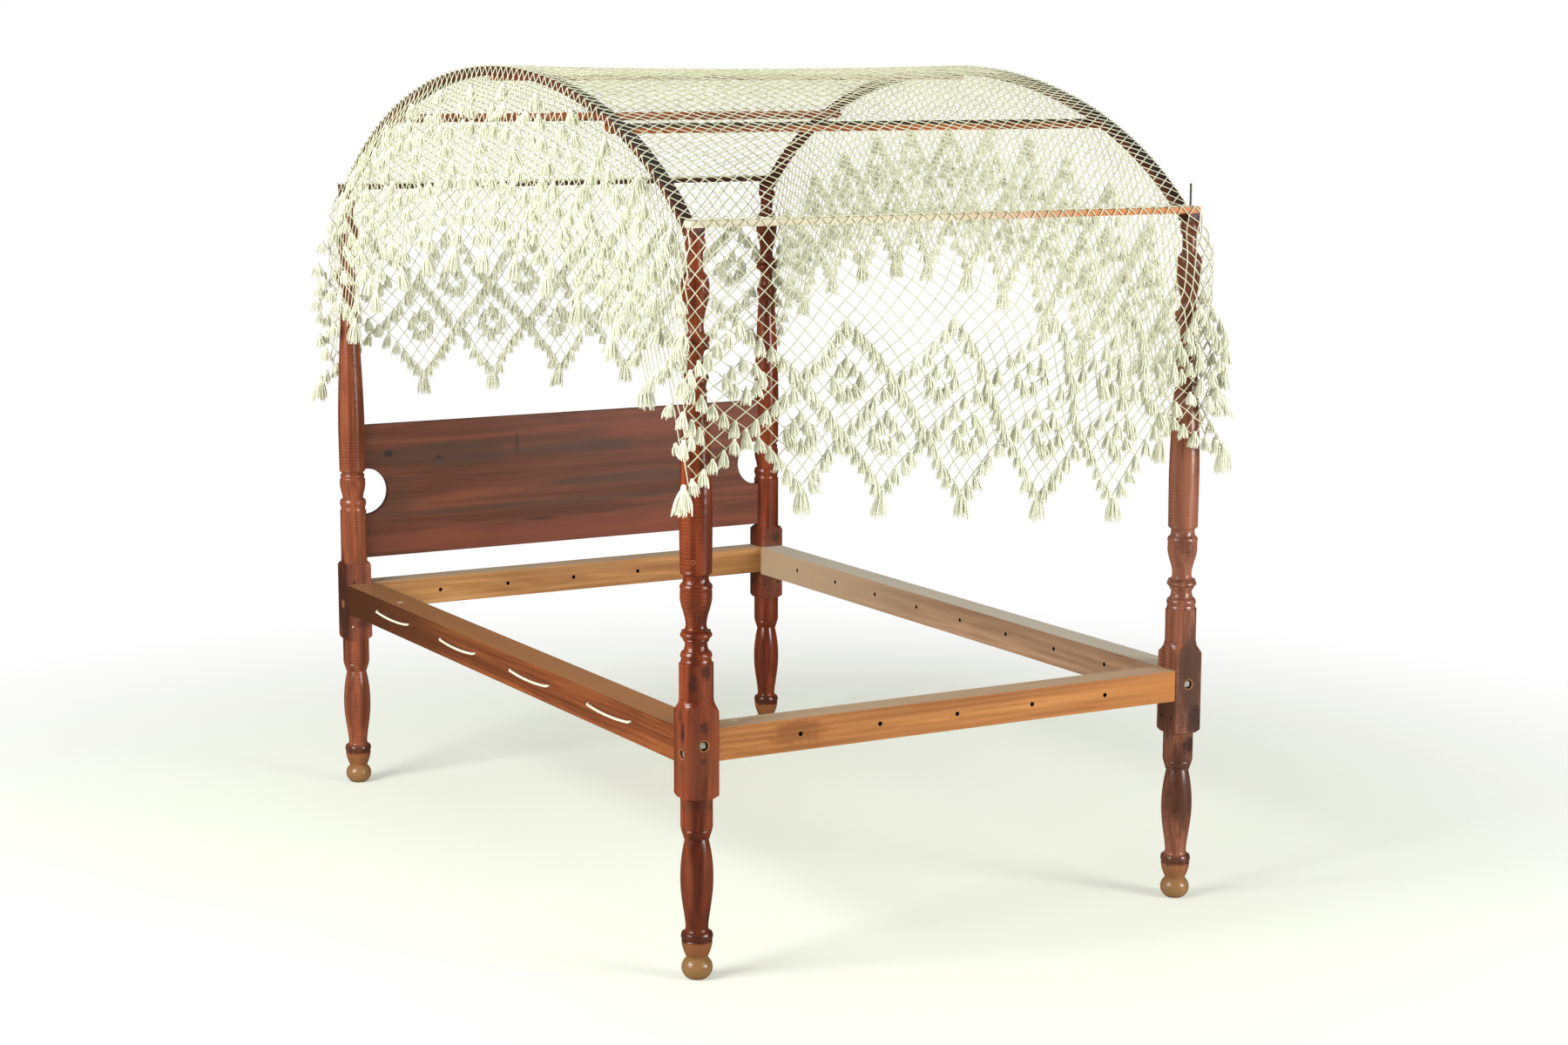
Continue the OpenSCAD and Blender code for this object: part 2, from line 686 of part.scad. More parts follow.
nail_len = rib_depth + slat_t - 3;
nail_head_d = 2.4 * nail_d;
nail_head_t = 1.2;
module nail_hole() {
    translate([0, 0, -nail_len]) cylinder(d = nail_d + 2 * driven_play, h = nail_len + cut);
    translate([0, 0, -nail_head_t]) cylinder(d = nail_head_d + 2 * driven_play, h = nail_head_t + cut);
}

module nail() {
    translate([0, 0, -nail_len]) cylinder(d = nail_d, h = nail_len - eps);
    translate([0, 0, -nail_head_t]) cylinder(d = nail_head_d, h = nail_head_t);
}

module slat_nails() {
    color("#55565a")
    for (sx = [-1, 1], t = [-slat_t0, 0, slat_t0]) at_curve(sx * post_x, t, 0) nail();
}

// Small iron clip under the rear slat, close to the left rib
clip_w = 14;
clip_leaf = 13;
clip_t = 2.5;
module slat_clip() {
    color("#26262a")
    at_curve(-post_x + rib_w / 2 + clip_w, slat_t0, rib_depth_at(slat_t0) + slat_play)
        translate([-clip_w / 2, -clip_w / 2, -slat_t]) {
            translate([0, 0, -clip_t]) cube([clip_w, clip_w, clip_t]);
            translate([0, 0, -clip_leaf]) cube([clip_t, clip_w, clip_leaf]);
        }
}

// --- Net canopy ---
// Diamonds that leave straight strands between them, nx across and as many rows as fill h
module gap_grid(w, h, nx, dh) {
    pw = w / nx;
    rows = ceil(h / dh) + 1;
    keep = 1 - strand_w * sqrt(pow(pw, 2) + pow(dh, 2)) / (pw * dh);
    dx = keep * pw / 2;
    dz = keep * dh / 2;
    for (j = [0:2 * rows], i = [0:nx - j % 2])
        translate([-w / 2 + (i + (j % 2 == 0 ? 0 : 0.5)) * pw, j * dh / 2])
            polygon([[-dx, 0], [0, -dz], [dx, 0], [0, dz]]);
}

// Height of the canopy's underside at y
function sheet_z(y) = abs(y) >= net_flat_y ? lath_top_z
    : curve_mid_z + rib_curve_b * sqrt(1 - pow(y / rib_curve_a, 2));

// Section across the ribs that the top net wraps, grown by d; its chords clear the ribs' own
net_steps = 10;
net_last_t = net_flat_t + 1;
net_bow = rib_curve_a * (1 - cos(net_last_t / net_steps / 2));
module wrap_section(d, flat_half) {
    polygon(concat([for (i = [net_steps:-1:-net_steps])
        curve_point(net_last_t * i / net_steps, -d - net_bow)], [[0, lath_top_z - 200]]));
    translate([-flat_half, lath_top_z + d - 60]) square([2 * flat_half, 60]);
}

module top_net_shell() {
    translate([-net_x - net_t, 0, 0])
        rotate([90, 0, 90])
            linear_extrude(2 * (net_x + net_t))
                difference() {
                    wrap_section(soft_gap + net_t, net_y + net_t);
                    wrap_section(soft_gap, net_y + net_t + cut);
                    translate([-3 * post_y, 0]) square([6 * post_y, lath_top_z - 60 + net_t]);
                }
}

module canopy_top_net() {
    color("#ece8d6")
    difference() {
        top_net_shell();
        translate([0, -net_y, lath_top_z - 80])
            linear_extrude(rib_rise + 200)
                intersection() {
                    gap_grid(2 * net_x, 2 * net_y, end_points, 2 * net_y / side_points);
                    translate([-net_x + strand_w, strand_w])
                        square([2 * (net_x - strand_w), 2 * (net_y - strand_w)]);
                }
    }
}

// Lower edge of a hanging net, from its tips: each notch lies halfway between two of them
function zigzag(tips, lift = 0) = [for (i = [0:2 * len(tips) - 2])
    let (a = tips[floor(i / 2)], b = tips[ceil(i / 2)], notch = i % 2 == 0 ? 0 : point_depth)
        [(a[0] + b[0]) / 2, (a[1] + b[1]) / 2 + notch + lift]];

module hanging(half, top, tips) {
    edge = strand_w * 2;
    low_z = min([for (tip = tips) tip[1]]) - point_depth;
    difference() {
        polygon(concat(top(0), zigzag(tips)));
        intersection() {
            polygon(concat(top(edge), zigzag(tips, edge)));
            translate([strand_w - half, 0])
                square([2 * (half - strand_w), 2 * crown_z]);
            translate([0, low_z])
                gap_grid(2 * half, crown_z - low_z, len(tips) - 1, gap_h);
        }
    }
}

end_half = net_x + net_t;
side_half = net_y - soft_gap;
function level_top(d) = [[end_half - d, lath_top_z - d], [-end_half + d, lath_top_z - d]];
function arched_top(d) = concat([[side_half - d, lath_top_z - d]],
    [for (i = [20:-1:-20]) let (y = net_flat_y * i / 20) [y, sheet_z(y) - d]],
    [[-side_half + d, lath_top_z - d]]);
// The end points fall evenly from the left corner to the last point before the right corner
function end_tips(left_z, last_z, right_z) = [for (i = [0:end_points])
    [-end_half + 2 * end_half * i / end_points,
        i == end_points ? right_z : left_z + (last_z - left_z) * i / (end_points - 1)]];
// The side points are spread evenly along the curve; the corner ones belong to the end nets too
side_last_t = asin(side_half / rib_curve_a);
function side_tips(corner_z, drop, lean = 0) = [for (i = [0:side_points])
    let (y = rib_curve_a * sin(side_last_t * (2 * i / side_points - 1)))
        [y, i == 0 ? corner_z : i == side_points ? head_point_z : sheet_z(y) - drop + lean * y]];
foot_tips = end_tips(foot_left_z, foot_right_z, right_corner_z);
head_tips = end_tips(head_point_z, head_point_z, head_point_z);
left_tips = side_tips(foot_left_z, left_drop);
right_tips = side_tips(right_corner_z, right_drop, right_lean);

module end_net(sy, tips) {
    translate([0, sy > 0 ? net_y + net_t : -net_y, 0])
        rotate([90, 0, 0])
            linear_extrude(net_t)
                hanging(end_half, function (d) level_top(d), tips);
}

module side_net(sx, tips) {
    translate([sx > 0 ? net_x : -net_x - net_t, 0, 0])
        rotate([90, 0, 90])
            linear_extrude(net_t)
                hanging(side_half, function (d) arched_top(d), tips);
}

module canopy_foot_net() { color("#ece8d6") end_net(-1, foot_tips); }
module canopy_head_net() { color("#e2dec9") end_net(1, head_tips); }
module canopy_left_net() { color("#ece8d6") side_net(-1, left_tips); }
module canopy_right_net() { color("#e2dec9") side_net(1, right_tips); }

// A tassel hangs from each point; corner points share one
module tassel(x, y, z) {
    translate([x, y, z - soft_gap - tassel_len])
        cylinder(r1 = tassel_r, r2 = tassel_r * 0.35, h = tassel_len);
}

module point_tassels() {
    color("#e9e4d0") {
        for (tip = foot_tips) tassel(tip[0], -net_y - net_t / 2, tip[1]);
        for (tip = head_tips) tassel(tip[0], net_y + net_t / 2, tip[1]);
        for (i = [1:side_points - 1]) {
            tassel(-net_x - net_t / 2, left_tips[i][0], left_tips[i][1]);
            tassel(net_x + net_t / 2, right_tips[i][0], right_tips[i][1]);
        }
    }
}

footpost_left();
footpost_right();
headpost_left();
headpost_right();
foot_rail();
head_rail();
side_rail_left();
side_rail_right();
headboard();
bed_bolts();
bolt_nuts();
bolt_hole_plugs();
post_pins();
rope_loop_1();
rope_loop_2();
rope_loop_3();
rope_loop_4();
arch_rib_left();
arch_rib_right();
foot_lath();
head_lath();
crown_slat();
front_slat();
rear_slat();
slat_nails();
slat_clip();
canopy_top_net();
canopy_foot_net();
canopy_head_net();
canopy_left_net();
canopy_right_net();
point_tassels();
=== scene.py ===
"""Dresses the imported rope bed: stained wood, iron, twisted rope, and the knotted net with its tassels."""

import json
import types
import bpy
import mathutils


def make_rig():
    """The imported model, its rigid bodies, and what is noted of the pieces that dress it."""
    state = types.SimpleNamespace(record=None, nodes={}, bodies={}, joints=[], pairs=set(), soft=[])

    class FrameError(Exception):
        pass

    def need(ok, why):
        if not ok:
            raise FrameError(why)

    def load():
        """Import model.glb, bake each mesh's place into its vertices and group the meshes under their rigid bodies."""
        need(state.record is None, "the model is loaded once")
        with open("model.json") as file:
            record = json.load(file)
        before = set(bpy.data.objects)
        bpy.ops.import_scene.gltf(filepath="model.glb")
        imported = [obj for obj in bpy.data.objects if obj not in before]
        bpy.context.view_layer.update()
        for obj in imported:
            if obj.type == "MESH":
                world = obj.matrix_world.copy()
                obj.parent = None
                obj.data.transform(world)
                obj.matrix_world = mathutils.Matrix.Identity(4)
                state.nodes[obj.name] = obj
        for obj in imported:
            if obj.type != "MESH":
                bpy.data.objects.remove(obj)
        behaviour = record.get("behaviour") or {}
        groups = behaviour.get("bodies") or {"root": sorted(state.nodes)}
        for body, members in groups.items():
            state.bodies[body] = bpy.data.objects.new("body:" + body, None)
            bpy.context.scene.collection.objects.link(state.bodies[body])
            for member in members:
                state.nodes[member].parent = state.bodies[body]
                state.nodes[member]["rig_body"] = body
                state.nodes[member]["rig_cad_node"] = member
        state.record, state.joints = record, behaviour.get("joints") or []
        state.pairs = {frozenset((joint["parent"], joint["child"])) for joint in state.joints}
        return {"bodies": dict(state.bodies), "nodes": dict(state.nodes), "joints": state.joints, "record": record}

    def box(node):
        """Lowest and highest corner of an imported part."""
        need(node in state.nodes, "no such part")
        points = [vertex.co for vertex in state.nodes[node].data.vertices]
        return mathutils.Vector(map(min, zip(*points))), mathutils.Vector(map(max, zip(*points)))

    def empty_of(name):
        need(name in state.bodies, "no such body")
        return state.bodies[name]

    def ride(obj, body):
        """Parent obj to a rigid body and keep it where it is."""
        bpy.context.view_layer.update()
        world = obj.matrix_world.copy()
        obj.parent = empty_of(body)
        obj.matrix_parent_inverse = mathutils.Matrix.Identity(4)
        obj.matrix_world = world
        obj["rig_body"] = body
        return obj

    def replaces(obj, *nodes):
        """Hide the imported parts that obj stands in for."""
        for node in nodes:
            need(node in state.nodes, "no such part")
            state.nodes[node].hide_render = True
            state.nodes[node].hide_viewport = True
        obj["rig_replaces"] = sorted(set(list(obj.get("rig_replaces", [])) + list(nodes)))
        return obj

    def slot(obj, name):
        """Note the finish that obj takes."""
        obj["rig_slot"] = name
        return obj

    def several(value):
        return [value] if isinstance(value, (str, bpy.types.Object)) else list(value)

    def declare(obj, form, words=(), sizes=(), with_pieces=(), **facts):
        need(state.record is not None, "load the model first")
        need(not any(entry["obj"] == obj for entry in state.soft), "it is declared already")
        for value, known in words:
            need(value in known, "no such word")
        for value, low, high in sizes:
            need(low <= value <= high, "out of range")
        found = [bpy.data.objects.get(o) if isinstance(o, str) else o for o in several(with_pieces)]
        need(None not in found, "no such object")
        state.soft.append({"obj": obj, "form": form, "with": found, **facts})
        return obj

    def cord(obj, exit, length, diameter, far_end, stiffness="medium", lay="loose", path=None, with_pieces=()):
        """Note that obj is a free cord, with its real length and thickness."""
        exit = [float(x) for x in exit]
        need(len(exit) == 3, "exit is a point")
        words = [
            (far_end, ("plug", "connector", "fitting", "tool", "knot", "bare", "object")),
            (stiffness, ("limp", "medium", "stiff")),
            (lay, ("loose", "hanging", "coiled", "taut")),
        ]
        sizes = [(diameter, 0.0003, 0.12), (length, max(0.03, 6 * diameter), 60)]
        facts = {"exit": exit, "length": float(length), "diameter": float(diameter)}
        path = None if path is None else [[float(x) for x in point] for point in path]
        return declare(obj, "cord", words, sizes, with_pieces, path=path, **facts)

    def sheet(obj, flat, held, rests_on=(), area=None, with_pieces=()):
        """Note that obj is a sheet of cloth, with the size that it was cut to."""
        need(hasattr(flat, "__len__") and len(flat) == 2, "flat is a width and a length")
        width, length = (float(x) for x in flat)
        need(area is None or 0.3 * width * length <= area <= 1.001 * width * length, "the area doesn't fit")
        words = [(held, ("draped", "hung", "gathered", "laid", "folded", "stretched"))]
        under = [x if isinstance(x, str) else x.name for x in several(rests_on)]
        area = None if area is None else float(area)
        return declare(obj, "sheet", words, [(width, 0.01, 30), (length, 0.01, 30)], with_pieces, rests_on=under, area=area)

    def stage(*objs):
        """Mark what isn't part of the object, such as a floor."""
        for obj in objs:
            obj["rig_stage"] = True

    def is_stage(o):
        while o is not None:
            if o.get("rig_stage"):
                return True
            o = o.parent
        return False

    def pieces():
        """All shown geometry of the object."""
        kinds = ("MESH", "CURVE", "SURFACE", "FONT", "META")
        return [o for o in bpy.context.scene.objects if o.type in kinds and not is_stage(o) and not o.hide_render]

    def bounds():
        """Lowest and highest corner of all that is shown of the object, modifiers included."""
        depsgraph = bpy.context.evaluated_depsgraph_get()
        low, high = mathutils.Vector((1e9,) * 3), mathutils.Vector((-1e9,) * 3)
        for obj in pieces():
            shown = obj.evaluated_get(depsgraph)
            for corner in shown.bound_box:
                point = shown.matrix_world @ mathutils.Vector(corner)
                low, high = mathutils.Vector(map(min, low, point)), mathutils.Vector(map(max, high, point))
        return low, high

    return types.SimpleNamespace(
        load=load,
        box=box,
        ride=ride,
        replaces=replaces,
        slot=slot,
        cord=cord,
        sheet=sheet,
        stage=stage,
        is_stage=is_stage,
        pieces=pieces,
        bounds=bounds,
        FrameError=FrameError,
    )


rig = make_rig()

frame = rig.load()
cad_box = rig.bounds()

import json
import logging
import math
import random
from bisect import bisect_left
from dataclasses import dataclass, field, replace
from enum import Enum
from typing import Callable, Iterator, Sequence

import bpy
from mathutils import Matrix, Vector, noise

log = logging.getLogger("rope_bed")
MM = 0.001
Colour = tuple[float, ...]
Pair = tuple[float, float]
Point = tuple[float, float, float]
Path = Sequence[Vector]
Step = tuple[int, int]
Node = bpy.types.Node
NodeTree = bpy.types.NodeTree
Socket = bpy.types.NodeSocket
Material = bpy.types.Material
Object = bpy.types.Object
Inputs = dict[str | int, object]
Spread = Callable[[float, float, float], Vector]
Knots = dict[Step, Vector]


def side(node: str, axis: int, end: int = 1) -> float:
    """The near (0) or far (1) side of a CAD piece along an axis, in millimetres."""
    return round(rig.box(node)[end][axis] / MM, 3)


POST_X = (side("footpost_right", 0, 0) + side("footpost_right", 0)) / 2
POST_Y = (side("headpost_right", 1, 0) + side("headpost_right", 1)) / 2
RAIL_TOP = side("foot_rail", 2)
ROPE_Z = RAIL_TOP - 36.0
LEFT_FACE = side("side_rail_left", 0, 0)
BOARD_FRONT = side("headboard", 1, 0)
LATH_TOP = side("foot_lath", 2)
CROWN = side("arch_rib_left", 2)


def linear(colour: Colour) -> Colour:
    """Turns a screen colour from 0 to 255 into the linear one that shaders take."""
    return tuple(c / 255 / 12.92 if c <= 10 else ((c / 255 + 0.055) / 1.055) ** 2.4 for c in colour)


def smooth(x: float) -> float:
    """Eases from 0 to 1 as x goes from 0 to 1."""
    x = min(1.0, max(0.0, x))
    return x * x * (3 - 2 * x)


# ---- node helpers
@dataclass(frozen=True)
class Graph:
    """Adds nodes to one node tree and joins them."""

    tree: NodeTree

    def __post_init__(self) -> None:
        """Clears the tree."""
        self.tree.nodes.clear()

    def node(self, kind: str, inputs: Inputs | None = None, **settings: object) -> Node:
        """Adds a node.

        Args:
            kind: the shader node's type, without its prefix.
            inputs: a value for each input named.
            settings: properties to set on it first.

        Returns:
            The new node.
        """
        made = self.tree.nodes.new("ShaderNode" + kind)
        for name, value in settings.items():
            setattr(made, name, value)
        for key, value in (inputs or {}).items():
            self.feed(made.inputs[key], value)
        return made

    def make(self, kind: str, inputs: Inputs, output: str | int = 0, **settings: object) -> Socket:
        """Adds a node with its inputs and settings, and picks one of its outputs."""
        return self.node(kind, inputs, **settings).outputs[output]

    def feed(self, socket: Socket, value: object) -> None:
        """Gives an input its value.

        Args:
            socket: the input.
            value: an output to link, a plain value, or a colour of three screen values.
        """
        if isinstance(value, Socket):
            self.tree.links.new(value, socket)
        elif socket.type == "RGBA" and len(value) == 3:
            socket.default_value = (*linear(value), 1.0)
        else:
            socket.default_value = value

    def maths(self, operation: str, a: object, b: object) -> Socket:
        """One sum on plain numbers."""
        return self.make("Math", {0: a, 1: b}, operation=operation)

    def times(self, a: object, b: object) -> Socket:
        """Multiplies two numbers."""
        return self.maths("MULTIPLY", a, b)

    def plus(self, a: object, b: object) -> Socket:
        """Adds two numbers."""
        return self.maths("ADD", a, b)

    def spread(self, value: object, low: float, high: float, first: float = 0, last: float = 1) -> Socket:
        """Maps low to high onto first to last, eased and clamped."""
        ends = {"Value": value, "From Min": low, "From Max": high, "To Min": first, "To Max": last}
        return self.make("MapRange", ends, "Result", interpolation_type="SMOOTHSTEP")

    def blend(self, share: object, a: object, b: object) -> Socket:
        """Mixes two colours."""
        return self.make("Mix", {0: share, 6: a, 7: b}, 2, data_type="RGBA")

    def stretch(self, vector: object, scale: object, shift: object = (0, 0, 0)) -> Socket:
        """Scales and shifts a place."""
        return self.make("VectorMath", {0: vector, 1: scale, 2: shift}, operation="MULTIPLY_ADD")

    def length(self, vector: Socket) -> Socket:
        """The length of a vector."""
        return self.make("VectorMath", {0: vector}, "Value", operation="LENGTH")

    def apart(self, here: Socket, place: Point) -> Socket:
        """The distance from a place given in millimetres."""
        metres = tuple(c * MM for c in place)
        return self.make("VectorMath", {0: here, 1: metres}, "Value", operation="DISTANCE")

    def cloud(self, vector: object, scale: float, detail: float = 3.0, rough: float = 0.55,
              twist: float = 0.0) -> Socket:
        """A noise value from 0 to 1."""
        return self.make("TexNoise", {"Vector": vector, "Scale": scale, "Detail": detail, "Roughness": rough,
                                      "Distortion": twist})

    def bands(self, vector: object, scale: float, twist: float, kind: str = "BANDS") -> Socket:
        """Wavy bands across Z, or rings round it."""
        look = {"Vector": vector, "Scale": scale, "Distortion": twist, "Detail": 3.0, "Detail Scale": 1.6,
                "Detail Roughness": 0.6}
        return self.make("TexWave", look, "Fac", wave_type=kind, bands_direction="Z", rings_direction="Z")

    def here(self) -> Socket:
        """The place on the piece, in metres."""
        return self.make("TexCoord", {}, "Object")

    def relief(self, height: Socket, strength: float, depth: float) -> Socket:
        """A normal that follows a height."""
        return self.make("Bump", {"Strength": strength, "Distance": depth, "Height": height})

    def principled(self, inputs: Inputs) -> None:
        """Adds the material's shader with its inputs."""
        self.show(self.node("BsdfPrincipled", inputs))

    def show(self, shader: Node, output: str = "OutputMaterial") -> None:
        """Joins a shader to the tree's output."""
        self.feed(self.node(output).inputs[0], shader.outputs[0])


def new_material(name: str) -> tuple[Material, Graph]:
    """Starts a material.

    Args:
        name: its name.

    Returns:
        The material and its empty graph.
    """
    material = bpy.data.materials.new(name)
    material.use_nodes = True
    return material, Graph(material.node_tree)


def wood_figure() -> NodeTree:
    """Makes the shared wood figure along local Z: growth rings, streaks, pores, cross curl and patches.

    Returns:
        A node group that puts out each of the five as a value.
    """
    tree = bpy.data.node_groups.new("wood_figure", "ShaderNodeTree")
    outputs = ("Rings", "Streaks", "Pores", "Curl", "Patches")
    tree.interface.new_socket("Vector", in_out="INPUT", socket_type="NodeSocketVector")
    scale = tree.interface.new_socket("Curl scale", in_out="INPUT", socket_type="NodeSocketFloat")
    scale.default_value = 1.0
    for title in outputs:
        tree.interface.new_socket(title, in_out="OUTPUT", socket_type="NodeSocketFloat")
    graph = Graph(tree)
    source, sink = tree.nodes.new("NodeGroupInput"), tree.nodes.new("NodeGroupOutput")
    place = source.outputs["Vector"]
    warp = graph.cloud(graph.stretch(place, (6, 6, 1.1)), 1.0, 2.0)
    bent = graph.stretch(warp, (0.05, 0.05, 0.0), place)
    rings = graph.bands(graph.stretch(bent, (1, 1, 0.06), (0.11, 0.07, 0)), 26.0, 2.2, "RINGS")
    streaks = graph.cloud(graph.stretch(place, (34, 34, 1.6)), 1.0, 5.0, 0.62, 0.4)
    pores = graph.cloud(graph.stretch(place, (900, 900, 22)), 1.0, 3.0, 0.6)
    scale = graph.make("CombineXYZ", dict.fromkeys("XYZ", source.outputs["Curl scale"]))
    slack = graph.stretch(place, (0.35, 0.35, 1.0))
    bars = graph.bands(graph.make("VectorMath", {0: slack, 1: scale}, operation="MULTIPLY"), 30.0, 5.0)
    where = graph.spread(graph.cloud(graph.stretch(place, (14, 14, 9)), 1.0, 2.0), 0.38, 0.66)
    curl = graph.times(graph.spread(bars, 0.25, 0.85), where)
    patches = graph.spread(graph.cloud(graph.stretch(place, (9, 9, 5)), 1.0, 4.0, 0.6, 0.5), 0.42, 0.72)
    for title, value in zip(outputs, (rings, streaks, pores, curl, patches)):
        graph.feed(sink.inputs[title], value)
    return tree


# ---- marks on wood
@dataclass(frozen=True)
class Surface:
    """A wooden surface for marks to be painted on: its place in metres, and a ragged height."""

    graph: Graph
    here: Socket
    parts: Node
    height: Socket


class Mark:
    """A mark in another colour. Each kind says where it lies: 1 on it, 0 beside it."""

    colour: Colour

    def mask(self, on: Surface) -> Socket:
        """Finds where the mark lies."""
        raise NotImplementedError

    def paint(self, on: Surface, colour: Socket) -> Socket:
        """Lays the mark over a colour."""
        return on.graph.blend(self.mask(on), colour, self.colour)


@dataclass(frozen=True)
class Fade(Mark):
    """A slow change to another colour between two places along an axis, in millimetres."""

    axis: str
    start: float
    end: float
    colour: Colour

    def mask(self, on: Surface) -> Socket:
        """Finds where the mark lies."""
        return on.graph.spread(on.parts.outputs[self.axis], self.start * MM, self.end * MM)


@dataclass(frozen=True)
class Top(Mark):
    """A paler or darker top face."""

    colour: Colour
    amount: float = 0.6

    def mask(self, on: Surface) -> Socket:
        """Finds where the mark lies."""
        up = on.graph.make("SeparateXYZ", {0: on.graph.make("NewGeometry", {}, "Normal")}, "Z")
        return on.graph.times(on.graph.spread(up, 0.55, 0.9), self.amount)


@dataclass(frozen=True)
class Band(Mark):
    """A stretch of height, in millimetres, where turned wood is darker or paler."""

    low: float
    high: float
    colour: Colour
    amount: float
    edge: float = 3.0

    def mask(self, on: Surface) -> Socket:
        """Finds where the mark lies.

        Args:
            on: the surface.

        Returns:
            The mask of the heights between low and high.
        """
        graph, edge = on.graph, self.edge * MM
        above = graph.spread(on.height, self.low * MM - edge, self.low * MM + edge)
        below = graph.spread(on.height, self.high * MM - edge, self.high * MM + edge, 1.0, 0.0)
        return graph.times(graph.times(above, below), self.amount)


@dataclass(frozen=True)
class StainAndPaintedLight(Mark):
    """A ragged darker or paler patch: its middle and its reach each way, in millimetres. Most are stains and rubbed
    wear; one is a painted shade and one a painted highlight.
    """

    place: Point
    reach: Point
    colour: Colour
    amount: float = 0.8

    def mask(self, on: Surface) -> Socket:
        """Finds where the mark lies.

        Args:
            on: the surface.

        Returns:
            The mask, torn at its edge.
        """
        middle = tuple(-c / r for c, r in zip(self.place, self.reach))
        offset = on.graph.stretch(on.here, tuple(1 / (r * MM) for r in self.reach), middle)
        torn = on.graph.times(on.graph.cloud(offset, 2.6, 6.0, 0.68), 1.5)
        return on.graph.spread(on.graph.plus(on.graph.length(offset), torn), 1.2, 1.75, self.amount, 0.0)


@dataclass(frozen=True)
class Spot(Mark):
    """A filled hole or a nail, or only its rim where one is given, in millimetres."""

    place: Point
    radius: float
    colour: Colour
    rim: float = 0.0

    def mask(self, on: Surface) -> Socket:
        """Finds where the mark lies.

        Args:
            on: the surface.

        Returns:
            The mask of the disc or its rim.
        """
        away, edge = on.graph.apart(on.here, self.place), self.radius * MM
        disc, inner = on.graph.spread(away, edge * 0.85, edge, 1.0, 0.0), edge - self.rim * MM
        return on.graph.times(disc, on.graph.spread(away, inner * 0.9, inner)) if self.rim else disc


@dataclass(frozen=True)
class HoleRow(Mark):
    """The row of evenly spaced round rope holes through a rail, with painted shade inside them, in millimetres."""

    rail: str
    axis: str
    count: int
    radius: float = 5.0
    # near black: the painted shade inside the holes
    colour: Colour = (16, 11, 8)
    beyond: float = 20.0

    def mask(self, on: Surface) -> Socket:
        """Finds where the mark lies.

        Args:
            on: the surface.

        Returns:
            The mask of every hole in the row.
        """
        ends = [side(self.rail, "XYZ".index(self.axis), end) for end in (0, 1)]
        pitch = (ends[1] - ends[0]) / (self.count + 1)
        graph, along = on.graph, on.parts.outputs[self.axis]
        from_first = graph.maths("SUBTRACT", along, (ends[0] + pitch) * MM)
        aside = graph.maths("PINGPONG", from_first, pitch * MM / 2)
        drop = graph.maths("SUBTRACT", on.parts.outputs["Z"], ROPE_Z * MM)
        away = graph.maths("SQRT", graph.plus(graph.times(aside, aside), graph.times(drop, drop)), 0.0)
        inside = graph.spread(away, self.radius * MM, self.radius * 1.12 * MM, 1.0, 0.0)
        for end, sign in zip(ends, (1, -1)):
            start = (end + sign * (pitch - self.beyond)) * MM
            inside = graph.times(inside, graph.spread(along, start, start + sign * MM))
        return inside


# ---- finishes
class Grain(Enum):
    """Which way the grain runs: the order that turns a place into (across, across, along)."""

    X = "YZX"
    Y = "XZY"
    Z = "XYZ"


@dataclass(frozen=True)
class Tones:
    """The screen colours of one stained wood."""

    body: Colour
    dark: Colour
    light: Colour


